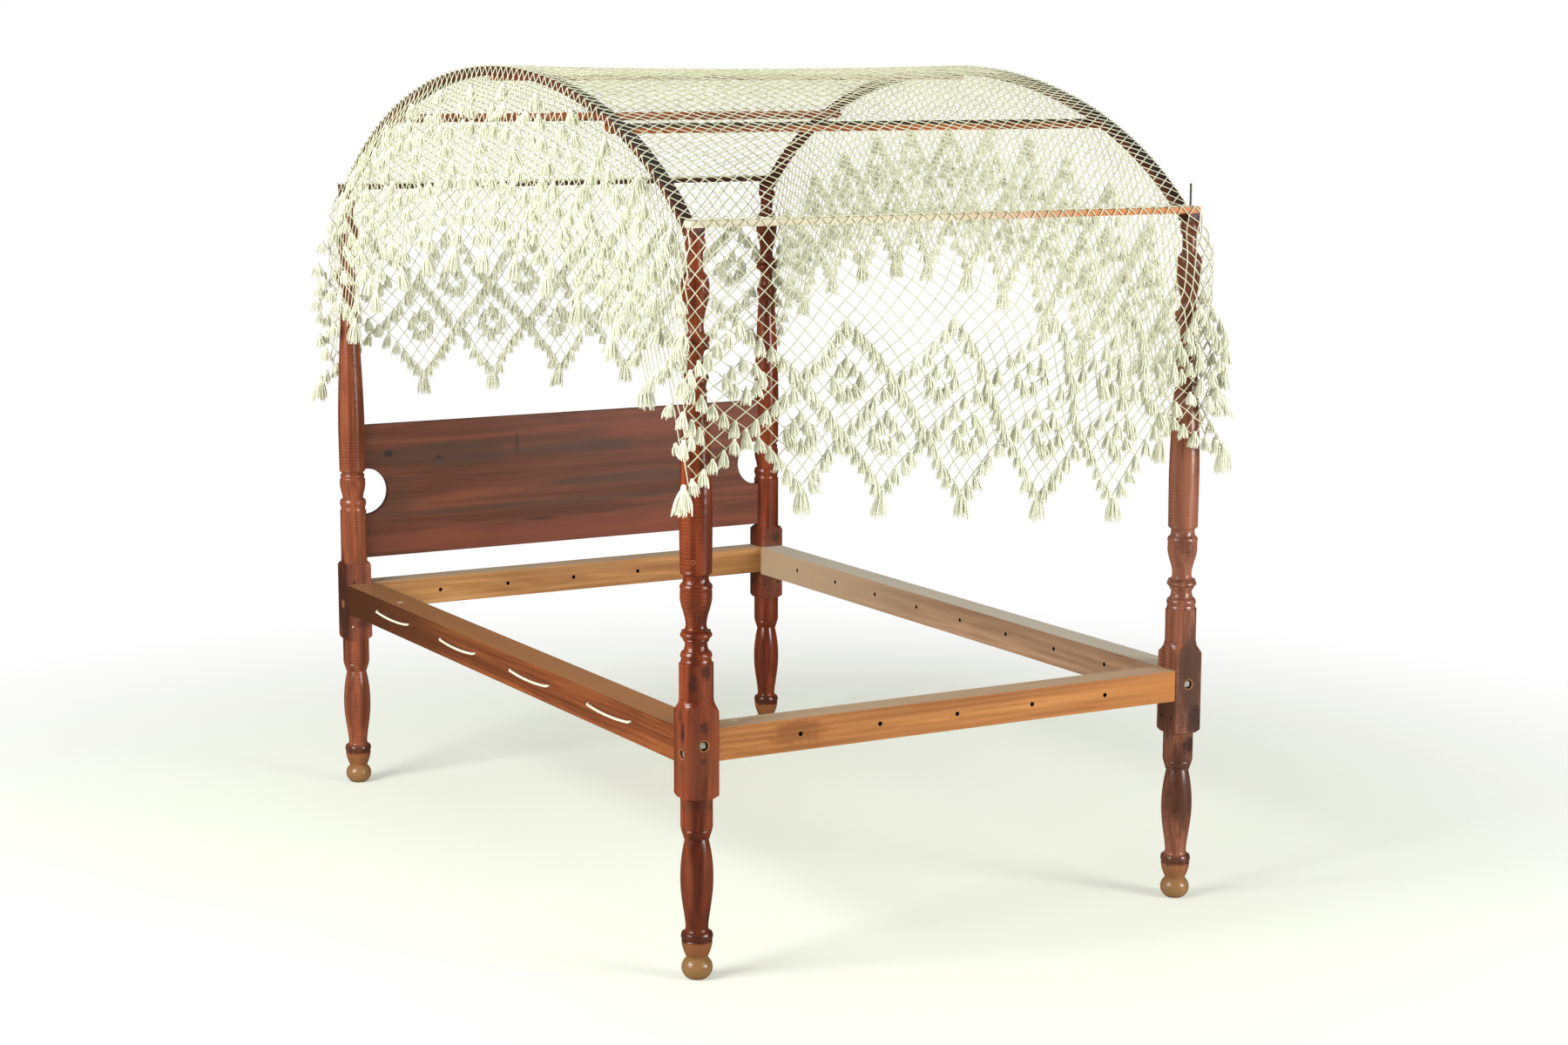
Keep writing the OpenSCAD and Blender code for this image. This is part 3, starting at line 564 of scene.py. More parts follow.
@dataclass(frozen=True)
class WoodFinish:
    """Stained wood as a maker would describe it, with its marks from the first painted to the last."""

    name: str
    tones: Tones
    grain: Grain = Grain.Z
    streak: float = 0.5
    patch: float = 0.35
    rough: float = 0.42
    gloss: float = 0.25
    curl: float = 0.0
    curl_scale: float = 1.0
    curl_from: float = -10.0
    shift: Point = (0.0, 0.0, 0.0)
    marks: tuple[Mark, ...] = ()
    curl_ease: float = 40.0
    ring_share: float = 0.35
    pore_share: float = 0.35
    raggedness: float = 12.0
    relief: Pair = (0.18, 0.0006)

    def build(self, figure: NodeTree) -> Material:
        """Makes the material.

        Args:
            figure: the shared wood figure group.

        Returns:
            A material whose colour, gloss and relief follow the grain.
        """
        material, graph = new_material(self.name)
        here = graph.here()
        parts = graph.node("SeparateXYZ", {0: here})
        turned = graph.make("CombineXYZ", {a: parts.outputs[b] for a, b in zip("XYZ", self.grain.value)})
        placed = graph.stretch(turned, (1, 1, 1), self.shift)
        group = graph.node("Group", {"Vector": placed, "Curl scale": self.curl_scale}, node_tree=figure)
        colour = self._figured(graph, group.outputs, parts.outputs["Z"])
        ragged = graph.times(graph.maths("SUBTRACT", graph.cloud(here, 60.0), 0.5), self.raggedness * MM)
        surface = Surface(graph, here, parts, graph.plus(parts.outputs["Z"], ragged))
        for mark in self.marks:
            colour = mark.paint(surface, colour)
        streaks, pores = group.outputs["Streaks"], group.outputs["Pores"]
        graph.principled({
            "Base Color": colour,
            "Roughness": graph.plus(graph.times(streaks, 0.22), self.rough - 0.11),
            "Specular IOR Level": self.gloss,
            "Normal": graph.relief(graph.plus(graph.times(pores, 0.5), streaks), *self.relief)})
        return material

    def _figured(self, graph: Graph, figure: bpy.types.NodeOutputs, height: Socket) -> Socket:
        """Colours the wood by its figure.

        Args:
            graph: the material's graph.
            figure: the outputs of the wood figure group.
            height: the place's height, in metres.

        Returns:
            The colour before any mark.
        """
        streaks, dark, light = figure["Streaks"], self.tones.dark, self.tones.light
        low, high = (self.curl_from - self.curl_ease) * MM, (self.curl_from + self.curl_ease) * MM
        curled = graph.times(figure["Curl"], graph.spread(height, low, high, 0.15 * self.curl, self.curl))
        colour = graph.blend(graph.spread(streaks, 0.35, 0.68), dark, self.tones.body)
        for share, tone in ((graph.times(figure["Rings"], self.ring_share * self.streak), light),
                            (graph.times(graph.spread(streaks, 0.52, 0.74), self.streak), light),
                            (graph.times(figure["Patches"], self.patch), dark),
                            (curled, dark),
                            (graph.times(graph.spread(figure["Pores"], 0.58, 0.72), self.pore_share), dark)):
            colour = graph.blend(share, colour, tone)
        return colour


@dataclass(frozen=True)
class IronFinish:
    """Old iron, dull and pitted, with paler faces on the bolt heads at the places given."""

    name: str
    colour: Colour
    rust: Colour
    rough: float = 0.5
    heads: tuple[Point, ...] = ()
    head_colour: Colour = (150, 158, 150)
    head_edge: Pair = (7 * MM, 9 * MM)

    def build(self) -> Material:
        """Makes the iron material.

        Returns:
            The material.
        """
        material, graph = new_material(self.name)
        here = graph.here()
        stain = graph.spread(graph.cloud(here, 130.0, 5.0, 0.65), 0.45, 0.65)
        colour = graph.blend(graph.times(stain, 0.7), self.colour, self.rust)
        for head in self.heads:
            share = graph.spread(graph.apart(here, head), *self.head_edge, 0.9, 0.0)
            colour = graph.blend(share, colour, self.head_colour)
        graph.principled({
            "Base Color": colour,
            "Metallic": 0.4,
            "Roughness": graph.plus(graph.times(stain, 0.3), self.rough - 0.1),
            "Normal": graph.relief(graph.cloud(here, 900.0, 3.0), 0.35, 0.0004)})
        return material


@dataclass(frozen=True)
class CottonFinish:
    """Soft spun cotton, slightly uneven in tone, with a faint painted glow that stands in for the light that cotton
    lets through.
    """

    name: str
    colour: Colour
    shade: Colour
    fuzz: float = 500.0
    # strength of the painted glow: emission in place of light passing through the cotton
    through: float = 0.0

    def build(self) -> Material:
        """Makes the cotton material.

        Returns:
            The material.
        """
        material, graph = new_material(self.name)
        here = graph.here()
        tone = graph.spread(graph.cloud(here, 9.0, 4.0, 0.6), 0.35, 0.7)
        fibres = graph.cloud(here, self.fuzz, 4.0, 0.7)
        colour = graph.blend(graph.times(tone, 0.45), self.colour, self.shade)
        colour = graph.blend(graph.times(graph.spread(fibres, 0.5, 0.3), 0.4), colour, self.shade)
        graph.principled({
            "Base Color": colour,
            "Roughness": 0.9,
            "Specular IOR Level": 0.2,
            "Sheen Weight": 0.35,
            "Sheen Roughness": 0.5,
            "Emission Color": colour,
            "Emission Strength": self.through,
            "Normal": graph.relief(fibres, 0.5, 0.0008)})
        return material


# ---- mesh helpers
def frames_along(path: Path) -> Iterator[tuple[Vector, Vector, Vector]]:
    """Carries a pair of cross directions along a path without twist.

    Args:
        path: the points, in order.

    Yields:
        Each point with its two cross directions.
    """
    last = len(path) - 1
    u = None
    for i, p in enumerate(path):
        way = (path[min(i + 1, last)] - path[max(i - 1, 0)]).normalized()
        u = way.orthogonal().normalized() if u is None else (u - way * u.dot(way)).normalized()
        yield p, u, way.cross(u)


def stand(name: str, data: bpy.types.ID) -> Object:
    """Stands something in the scene.

    Args:
        name: its name.
        data: its mesh, light or camera.

    Returns:
        The object.
    """
    made = bpy.data.objects.new(name, data)
    bpy.context.scene.collection.objects.link(made)
    return made


@dataclass
class MeshMaker:
    """Collects tubes and knots, in millimetres, into one mesh."""

    points: list[Point] = field(default_factory=list)
    faces: list[tuple[int, ...]] = field(default_factory=list)

    def tube(self, path: Path, radii: Sequence[float] | float, sides: int, capped: bool = False) -> None:
        """Adds a tube.

        Args:
            path: the points of its axis.
            radii: one radius, or one for each point.
            sides: how many sides it has.
            capped: whether its ends are closed.
        """
        first = len(self.points)
        for i, (p, u, w) in enumerate(frames_along(path)):
            radius = radii if isinstance(radii, float) else radii[i]
            for k in range(sides):
                a = 2 * math.pi * k / sides
                self.points.append(tuple(p + radius * (math.cos(a) * u + math.sin(a) * w)))
        final = len(self.points) - sides
        for ring in range(first, final, sides):
            for k in range(sides):
                n = (k + 1) % sides
                self.faces.append((ring + k, ring + n, ring + sides + n, ring + sides + k))
        if capped:
            self.faces.append(tuple(range(first + sides - 1, first - 1, -1)))
            self.faces.append(tuple(range(final, final + sides)))

    def bead(self, centre: Vector, radius: float) -> None:
        """Adds a small eight-faced knot.

        Args:
            centre: its middle.
            radius: how far its corners reach.
        """
        first = len(self.points)
        for axis in range(3):
            for sign in (-1, 1):
                p = centre.copy()
                p[axis] += sign * radius
                self.points.append(tuple(p))
        for corners in ((x, y, z) for x in (0, 1) for y in (2, 3) for z in (4, 5)):
            face = tuple(first + c for c in corners)
            self.faces.append(face if sum(corners) % 2 else face[::-1])

    def net(self, knots: Knots, steps: Sequence[Step], size: "NetSize") -> None:
        """Adds a bead at each knot, and the threads between knots.

        Args:
            knots: the knots by column and row.
            steps: the steps from a knot to the ones that its threads run on to.
            size: the sizes of knot and thread.
        """
        for (i, j), p in knots.items():
            self.bead(p, size.knot)
            for di, dj in steps:
                q = knots.get((i + di, j + dj))
                if q is not None:
                    self.tube((p, q), size.thread, 4)

    def object(self, name: str, material: Material) -> Object:
        """Turns what was collected into one smooth object.

        Args:
            name: the object's name.
            material: its material.

        Returns:
            The object, linked into the scene.
        """
        mesh = bpy.data.meshes.new(name)
        mesh.from_pydata([(x * MM, y * MM, z * MM) for x, y, z in self.points], [], self.faces)
        mesh.polygons.foreach_set("use_smooth", [True] * len(mesh.polygons))
        mesh.update()
        mesh.materials.append(material)
        log.info("made %s: %d faces", name, len(mesh.polygons))
        return stand(name, mesh)


def own(piece: Object, body: str, slot: str, node: str) -> None:
    """Puts a made piece on its body, gives it its slot, and hides the CAD piece that it replaces.

    Args:
        piece: the piece.
        body: the body that it rides on.
        slot: what it is made of.
        node: the CAD piece that it replaces.
    """
    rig.ride(piece, body)
    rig.slot(piece, slot)
    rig.replaces(piece, node)


# ---- the net
@dataclass
class ArchLine:
    """The line that the net follows, in millimetres: over the foot lath, the ribs and the head lath."""

    edge_y: float
    lift: float
    half_curve: float = 1150.0
    curve_rise: float = 675.0
    lath_run: float = 12.0
    steps: int = 80

    def __post_init__(self) -> None:
        """Lays out the line and measures along it."""
        self.mid = CROWN - self.curve_rise
        self.flat_z = LATH_TOP + self.lift
        self.flat_y = self.half_curve * math.sqrt(1 - ((LATH_TOP - self.mid) / self.curve_rise) ** 2)
        half = [(self.edge_y, self.flat_z), (self.flat_y + self.lath_run, self.flat_z)]
        turns = [2 * self.flat_y * i / self.steps - self.flat_y for i in range(self.steps + 1)]
        self.path = [(-y, z) for y, z in half] + [(y, self.curve(y)) for y in turns] + half[::-1]
        self.lengths = [0.0]
        for p, q in zip(self.path, self.path[1:]):
            self.lengths.append(self.lengths[-1] + math.dist(p, q))

    def curve(self, y: float) -> float:
        """Height of the line over the ribs."""
        return self.mid + self.curve_rise * math.sqrt(1 - (y / self.half_curve) ** 2) + self.lift

    def height(self, y: float) -> float:
        """Height of the line above the floor."""
        return self.flat_z if abs(y) >= self.flat_y else self.curve(y)

    def at(self, share: float) -> Pair:
        """Finds a place on the line.

        Args:
            share: how far along the line, from 0 to 1.

        Returns:
            Its y and z.
        """
        want = share * self.lengths[-1]
        k = min(max(1, bisect_left(self.lengths, want)), len(self.path) - 1)
        step = (want - self.lengths[k - 1]) / (self.lengths[k] - self.lengths[k - 1])
        p, q = self.path[k - 1], self.path[k]
        return p[0] + step * (q[0] - p[0]), p[1] + step * (q[1] - p[1])


@dataclass(frozen=True)
class Tassel:
    """A bunch of cotton threads tied at the top, in millimetres."""

    length: float
    radius: float
    tilt: float = 0.1
    strands: int = 16
    steps: int = 3
    body: tuple[float, ...] = (-0.02, 0.07, 0.16, 0.4, 0.8)
    body_widths: tuple[float, ...] = (0.24, 0.36, 0.24, 0.42, 0.62)
    thread: float = 2.0
    thread_end: float = 1.1
    reach_range: Pair = (0.8, 1.15)
    length_range: Pair = (0.86, 1.08)
    inner: float = 0.65  # the share of the radius that every third thread reaches
    tied: float = 0.15  # the share of the length above the threads' start

    def add(self, maker: MeshMaker, top: Vector, rng: random.Random) -> None:
        """Hangs the tassel: a tied head, a narrow neck and a skirt that widens to its foot.

        Args:
            maker: what the tassel is added to.
            top: where it is tied.
            rng: the net's own random numbers.
        """
        lean = Vector((rng.gauss(0, self.tilt), rng.gauss(0, self.tilt), -1)).normalized()
        core = [top + lean * self.length * share for share in self.body]
        maker.tube(core, [self.radius * share for share in self.body_widths], 6, True)
        neck = self.radius * self.body_widths[0]
        widths = [self.thread] * self.steps + [self.thread_end]
        for n in range(self.strands):
            a = 2 * math.pi * (n + rng.uniform(-0.4, 0.4)) / self.strands
            wide = self.radius * (1.0 if n % 3 else self.inner) * rng.uniform(*self.reach_range)
            way = Vector((math.cos(a), math.sin(a), 0))
            long = self.length * rng.uniform(*self.length_range)
            path = []
            for k in range(self.steps + 1):
                t = k / self.steps
                out = neck + (wide - neck) * math.sin(t * math.pi / 2) ** 0.8
                path.append(top + lean * long * (self.tied + (1 - self.tied) * t) + way * out)
            maker.tube(path, widths, 3)


@dataclass(frozen=True)
class NetSize:
    """Sizes of the knotted net, in millimetres."""

    per: int = 12  # columns in a repeat, from point to point
    along: int = 144
    across: int = 72
    row: float = 21.0
    thread: float = 1.35
    knot: float = 2.6
    clear: float = 2.0
    half_x: float = side("foot_lath", 0)
    half_y: float = side("head_lath", 1) + clear
    flare: float = 22.0
    flare_depth: float = 110.0
    # heights above the points where the lattice's lines meet
    lattice: tuple[float, ...] = (0.0, 135.0, 255.0, 390.0)
    # columns and half rows from a diamond's middle to the tassels of its ring
    ring: tuple[Pair, ...] = ((0, 2.2), (0, -0.9), (-1.8, 0.4), (1.8, 0.4), (-1.0, 1.4), (1.0, 1.4),
                              (-0.9, -0.5), (0.9, -0.5))

    def rise(self, row: float) -> float:
        """Measures up the net.

        Args:
            row: a half row, counted up from the points.

        Returns:
            Its height above the points.
        """
        step = self.per / 2
        k = min(2, int(row // step))
        low, high = self.lattice[k], self.lattice[k + 1]
        if row <= 3 * step:
            return low + (high - low) * (row / step - k)
        return self.lattice[3] + self.row * (row - 3 * step)


@dataclass
class HangingNet:
    """One hanging side of the net, with its pointed edge and lattice of tassels.

    head_of gives the place along the side and the top height of a column, tip_of the height of a point,
    and spread_to the place of a height and a distance outwards. fan says how many columns the peaks
    are pulled apart, and to which side. per_line and per_ring count the small tassels of half a
    repeat's line and of a diamond's ring.
    """

    name: str
    size: NetSize
    columns: int
    head_of: Callable[[float], Pair]
    tip_of: Callable[[int], float]
    spread_to: Spread
    seed: int
    fan: Pair = (0.0, 0.0)
    small: Tassel = Tassel(38.0, 12.0, 0.13)
    per_line: int = 6
    per_ring: int = 8
    long: Tassel = Tassel(64.0, 17.0, 0.1, 30, 4)
    long_drop: float = 4.0  # how much the long tassels vary
    small_range: Pair = (0.85, 1.15)
    column_shift: Pair = (-0.12, 0.12)
    row_shift: Pair = (-0.15, 0.1)
    drift: float = 0.3  # how far knots wander, in columns
    lift: float = 9.0  # and up or down
    billow: float = 8.0  # and outwards
    shake: float = 0.7
    loose_depth: float = 160.0  # where the billows are fully free
    loose_ends: float = 0.08  # the share of the columns held steady at each end
    billow_grain: Pair = (0.006, 0.005)
    drift_grain: Pair = (0.19, 0.23)
    lift_grain: Pair = (0.17, 0.21)
    peaks: float = 0.65  # the share of the height where the fan is widest
    post_clear: tuple[float, float, float] = (3.0, 21.0, 7.0)

    def __post_init__(self) -> None:
        """Starts the net's random numbers and counts its rows."""
        self.rng = random.Random(self.seed)
        self.repeats = self.columns // self.size.per
        low, top = self.tip_z(self.columns / 2), self.head_of(self.columns / 2)[1]
        lattice_rows = 3 * self.size.per // 2
        plain_rows = round((top - low - self.size.lattice[3]) / self.size.row)
        self.last_row = lattice_rows + max(2, plain_rows)

    def tip_z(self, column: float) -> float:
        """Follows the straight lines from point to point.

        Args:
            column: a column of the net.

        Returns:
            The height of that line there.
        """
        at = min(self.repeats - 1e-6, max(0.0, column / self.size.per))
        m = int(at)
        return self.tip_of(m) + (self.tip_of(m + 1) - self.tip_of(m)) * (at - m)

    def edge_row(self, column: int) -> float:
        """The lowest half row at a column: 0 at a point, half a repeat at a notch."""
        return self.size.per / 2 * (1 - abs(2 * ((column / self.size.per) % 1.0) - 1))

    def from_end(self, column: float, columns: float) -> float:
        """How far a column is from the nearer end of the net: 1 from some columns on."""
        return smooth(min(column, self.columns - column) / columns)

    @staticmethod
    def wander(x: float, y: float, grain: Pair, seed: float) -> float:
        """A slow wave from -1 to 1 over two directions, finer with a larger grain."""
        return noise.noise(Vector((x * grain[0], y * grain[1], seed)))

    def place(self, column: float, z: float, out: float) -> Vector:
        """Finds a place on the hanging net.

        Args:
            column: the column.
            z: the height above the floor.
            out: how far outside the net.

        Returns:
            The place, with the net's flare and slow billows.
        """
        along, top = self.head_of(column)
        depth = max(0.0, top - z)
        flare = self.size.flare * smooth(depth / self.size.flare_depth)
        loose = smooth(depth / self.loose_depth) * self.from_end(column, self.loose_ends * self.columns)
        wave = self.billow * self.wander(along, z, self.billow_grain, self.seed * 3.1) * loose
        return self.spread_to(along, z, flare + out + wave)

    def fanned(self, column: float, row: float) -> float:
        """Pulls the peaks apart, between the points and the top edge.

        Args:
            column: the column.
            row: the half row.

        Returns:
            How many columns the net is pulled aside there.
        """
        share = 2 * column / self.columns - 1
        level = self.size.rise(max(0.0, row)) / self.size.rise(self.last_row)
        below = smooth(level / self.peaks) ** 1.6
        pull = below if level < self.peaks else smooth((1 - level) / (1 - self.peaks))
        return self.fan[0] * (share + self.fan[1]) * (1 - share * share) * pull

    def knot(self, column: float, row: float, out: float = 0.0) -> Vector:
        """Finds a knot, with the small wander of real netting.

        Args:
            column: the column.
            row: the half row, counted up from the points.
            out: how far outside the net.

        Returns:
            The knot's place.
        """
        low, top = self.tip_z(column), self.head_of(column)[1]
        z = low + (top - low) * self.size.rise(row) / self.size.rise(self.last_row)
        free = smooth((self.last_row - row) / 3) * self.from_end(column, 2)
        drift = self.fanned(column, row)
        drift += free * self.drift * self.wander(column, row, self.drift_grain, self.seed)
        lift = self.lift * self.wander(column, row, self.lift_grain, self.seed + 40.0)
        return self.place(column + drift, z + free * lift, out)

    def threads(self) -> MeshMaker:
        """Builds the threads and knots.

        Returns:
            Their mesh, as wide as the net.
        """
        maker = MeshMaker()
        knots: Knots = {}
        for i in range(self.columns + 1):
            for row in range(math.ceil(self.edge_row(i) - 1e-6), self.last_row + 1):
                if (i + row) % 2 == 0:
                    shake = Vector([self.rng.gauss(0, self.shake) for _ in "xyz"])
                    fixed = row == self.last_row or i in (0, self.columns)
                    knots[i, row] = self.knot(i, row) + shake * (0.0 if fixed else 1.0)
        maker.net(knots, ((-1, 1), (1, 1)), self.size)
        return maker

    def tassel_spots(self) -> Iterator[Pair]:
        """Finds where the small tassels hang: along the lattice's lines, and in rings inside it.

        Yields:
            The column and half row of each.
        """
        half = self.size.per // 2
        steps = [half * (n + 1) / self.per_line for n in range(self.per_line)]
        for tip in range(0, self.columns + 1, self.size.per):
            for sign in (-1, 1):
                for k in steps:
                    for column, row in ((tip + sign * k, k), (tip + sign * (half - k), half + k),
                                        (tip + sign * k, 2 * half + k)):
                        if 0 <= column <= self.columns and row < self.last_row - 1:
                            yield column, row
            for middle, row in ((tip, half), (tip + half, 2 * half)):
                for dc, dr in self.size.ring[:self.per_ring]:
                    if 0 <= middle + dc <= self.columns:
                        yield middle + dc, row + dr

    def clear(self, column: float) -> float:
        """How far outside the net a tassel hangs, with more where a post stands behind it."""
        least, more, columns = self.post_clear
        return least + more * (1 - self.from_end(column, columns))

    def tassels(self) -> MeshMaker:
        """Builds the small tassels of the lattice and the long ones on the points.

        Returns:
            Their mesh.
        """
        maker, rng = MeshMaker(), self.rng
        for column, row in self.tassel_spots():
            shift = rng.uniform(*self.column_shift), rng.uniform(*self.row_shift)
            at = self.knot(column + shift[0], row + shift[1], self.clear(column))
            length = self.small.length * rng.uniform(*self.small_range)
            replace(self.small, length=length).add(maker, at, rng)
        for tip in range(0, self.columns + 1, self.size.per):
            at = self.knot(tip, -0.05, self.clear(tip))
            length = rng.uniform(self.long.length - self.long_drop, self.long.length + self.long_drop)
            replace(self.long, length=length).add(maker, at, rng)
        return maker


@dataclass
class NetCanopy:
    """The knotted net over the arched frame, in five pieces that meet knot to knot.

    Each draw says how far a net is drawn in lower down, and from which share of its width on it isn't.
    """

    cotton: Material
    tassel_cotton: Material
    size: NetSize = NetSize()
    left_corner_z: float = side("canopy_left_net", 2, 0)
    foot_low_z: float = side("canopy_foot_net", 2, 0)
    right_corner_z: float = 1100.0
    head_z: float = side("canopy_head_net", 2, 0)
    end_draw: Pair = (0.098, 0.667)
    side_draw: Pair = (0.045, 0.84)
    draw_depth: float = 400.0
    left_drop: float = 435.0
    right_drop: float = 530.0
    right_lean: float = 0.13
    sag: float = 9.0
    wander: float = 4.0
    grain: Pair = (0.23, 0.29)
    shake: Pair = (0.9, 0.6)  # sideways, and up or down

    def __post_init__(self) -> None:
        """Lays out the line over the arch."""
        self.line = ArchLine(self.size.half_y, self.size.clear)

    def end_head(self, column: float) -> Pair:
        """(x, top height) at a column of the foot or head net."""
        return self.size.half_x * (2 * column / self.size.across - 1), self.line.flat_z

    def side_head(self, column: float) -> Pair:
        """(y, top height) at a column of a side net."""
        return self.line.at(column / self.size.along)

    def drawn(self, share: float, depth: float, draw: Pair) -> float:
        """Draws the net in sideways lower down.

        Args:
            share: the place across the net, from -1 to 1.
            depth: how far below its top edge, in millimetres.
            draw: how much, and where it begins to fade towards the corners.

        Returns:
            The share of its full width that is left there.
        """
        amount, start = draw
        in_corner = smooth((abs(share) - start) / (1 - start))
        return 1 - amount * smooth(depth / self.draw_depth) * (1 - in_corner)

    def spread(self, ends: bool, sign: int) -> Spread:
        """Chooses how a hanging net lies in the bed.

        Args:
            ends: whether it is the foot or head net.
            sign: -1 at the foot or on the left, 1 at the head or on the right.

        Returns:
            A function that places the net's points.
        """
        half, off, draw = self.size.half_y, self.size.half_x, self.side_draw
        if ends:
            half, off, draw = off, half, self.end_draw

        def place(along: float, z: float, out: float) -> Vector:
            """Places a point.

            Args:
                along: the distance along the net from its middle.
                z: the height above the floor.
                out: how far outside the net.

            Returns:
                Its place in the bed.
            """
            top = self.line.flat_z if ends else self.line.height(along)
            share, away = along / half, sign * (off + out)
            across = share * ((half + out) * self.drawn(share, top - z, draw))
            return Vector((across, away, z) if ends else (away, across, z))
        return place

    def foot_tip(self, m: int) -> float:
        """Sets the foot net's points, which fall evenly as far as the right corner, where they are drawn up.

        Args:
            m: the point, counted from the left corner.

        Returns:
            Its height.
        """
        last = self.size.across // self.size.per
        fall = (self.foot_low_z - self.left_corner_z) * m / (last - 1)
        return self.right_corner_z if m >= last else self.left_corner_z + fall

    def side_tip(self, corner: float, drop: float, lean: float) -> Callable[[int], float]:
        """Sets the points of a side net.

        Args:
            corner: the height of its point at the foot.
            drop: how far its other points hang below the rib.
            lean: how much further towards the foot, for each millimetre.

        Returns:
            A function that gives the height of a point.
        """
        ends = {0: corner, self.size.along // self.size.per: self.head_z}

        def tip(m: int) -> float:
            """The height of one point."""
            y, z = self.side_head(m * self.size.per)
            return ends.get(m, z - drop + lean * y)
        return tip

    def top_net(self) -> MeshMaker:
        """Builds the net that lies over the ribs and laths, sagging a little between them.

        Returns:
            Its mesh.
        """
        maker, size, rng = MeshMaker(), self.size, random.Random(5)
        knots: Knots = {}
        for i in range(size.along + 1):
            y, z = self.line.at(i / size.along)
            ends = smooth(min(i, size.along - i) / 8)
            for j in range(i % 2, size.across + 1, 2):
                x = size.half_x * (2 * j / size.across - 1)
                free = smooth(min(j, size.across - j) / 4) * ends
                sag = self.sag * (1 - (x / size.half_x) ** 2) * ends
                at = [x, y]
                for axis, seed in enumerate((1.7, 9.1)):
                    astray = self.wander * HangingNet.wander(i, j, self.grain, seed)
                    at[axis] += free * (astray + rng.gauss(0, self.shake[0]))
                knots[i, j] = Vector((*at, z - sag + free * rng.gauss(0, self.shake[1])))
        maker.net(knots, ((1, -1), (1, 1)), size)
        return maker

    def hanging(self) -> list[HangingNet]:
        """Describes the four hanging nets.

        Returns:
            The foot, head, left and right nets.
        """
        ends = (self.size, self.size.across, self.end_head)
        sides = (self.size, self.size.along, self.side_head)
        left_tip = self.side_tip(self.left_corner_z, self.left_drop, 0.0)
        right_tip = self.side_tip(self.right_corner_z, self.right_drop, self.right_lean)
        return [
            HangingNet("foot", *ends, self.foot_tip, self.spread(True, -1), 11, (9.0, 0.7)),
            HangingNet("head", *ends, lambda m: self.head_z, self.spread(True, 1), 12),
            HangingNet("left", *sides, left_tip, self.spread(False, -1), 13, (7.0, 0.2),
                       Tassel(38.0, 15.5, 0.2), per_line=3, per_ring=1),
            HangingNet("right", *sides, right_tip, self.spread(False, 1), 14,
                       small=Tassel(34.0, 11.0, 0.15), per_line=5, per_ring=6),
        ]

    def build(self) -> None:
        laths, ribs = ["foot_lath", "head_lath"], ["arch_rib_left", "arch_rib_right"]
        for net, held_by in zip(self.hanging(), (laths, laths, ribs, ribs)):
            node = f"canopy_{net.name}_net"
            piece = net.threads().object(f"net_{net.name}", self.cotton)
            fringe = net.tassels().object(f"net_{net.name}_tassels", self.tassel_cotton)
            own(piece, "tester", "net_cotton", node)
            own(fringe, "tester", "net_cotton", "point_tassels")
            self.declare(piece, node, "hung", held_by, [fringe])
        top = self.top_net().object("net_top", self.cotton)
        own(top, "tester", "net_cotton", "canopy_top_net")
        self.declare(top, "canopy_top_net", "draped", ribs, [])

    def declare(self, piece: Object, node: str, held: str, on: list[str], going: list[Object]) -> None:
        """Declares a net as a sheet, with the flat area that its threads cover.

        Args:
            piece: the net's threads.
            node: the CAD piece that it replaces.
            held: how it is held.
            on: the CAD pieces that hold it.
            going: the pieces that go with it.
        """
        low, high = (Vector(c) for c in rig.box(node))
        _, width, length = sorted(high - low)
        if held == "draped":
            width, length = high.x - low.x, self.line.lengths[-1] * MM
        area = sum(p.area for p in piece.data.polygons)
        share = min(1.0, max(0.3, area / (width * length) / 1.05))
        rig.sheet(piece, flat=(width, length), held=held, rests_on=on, area=share * width * length,
                 with_pieces=going)


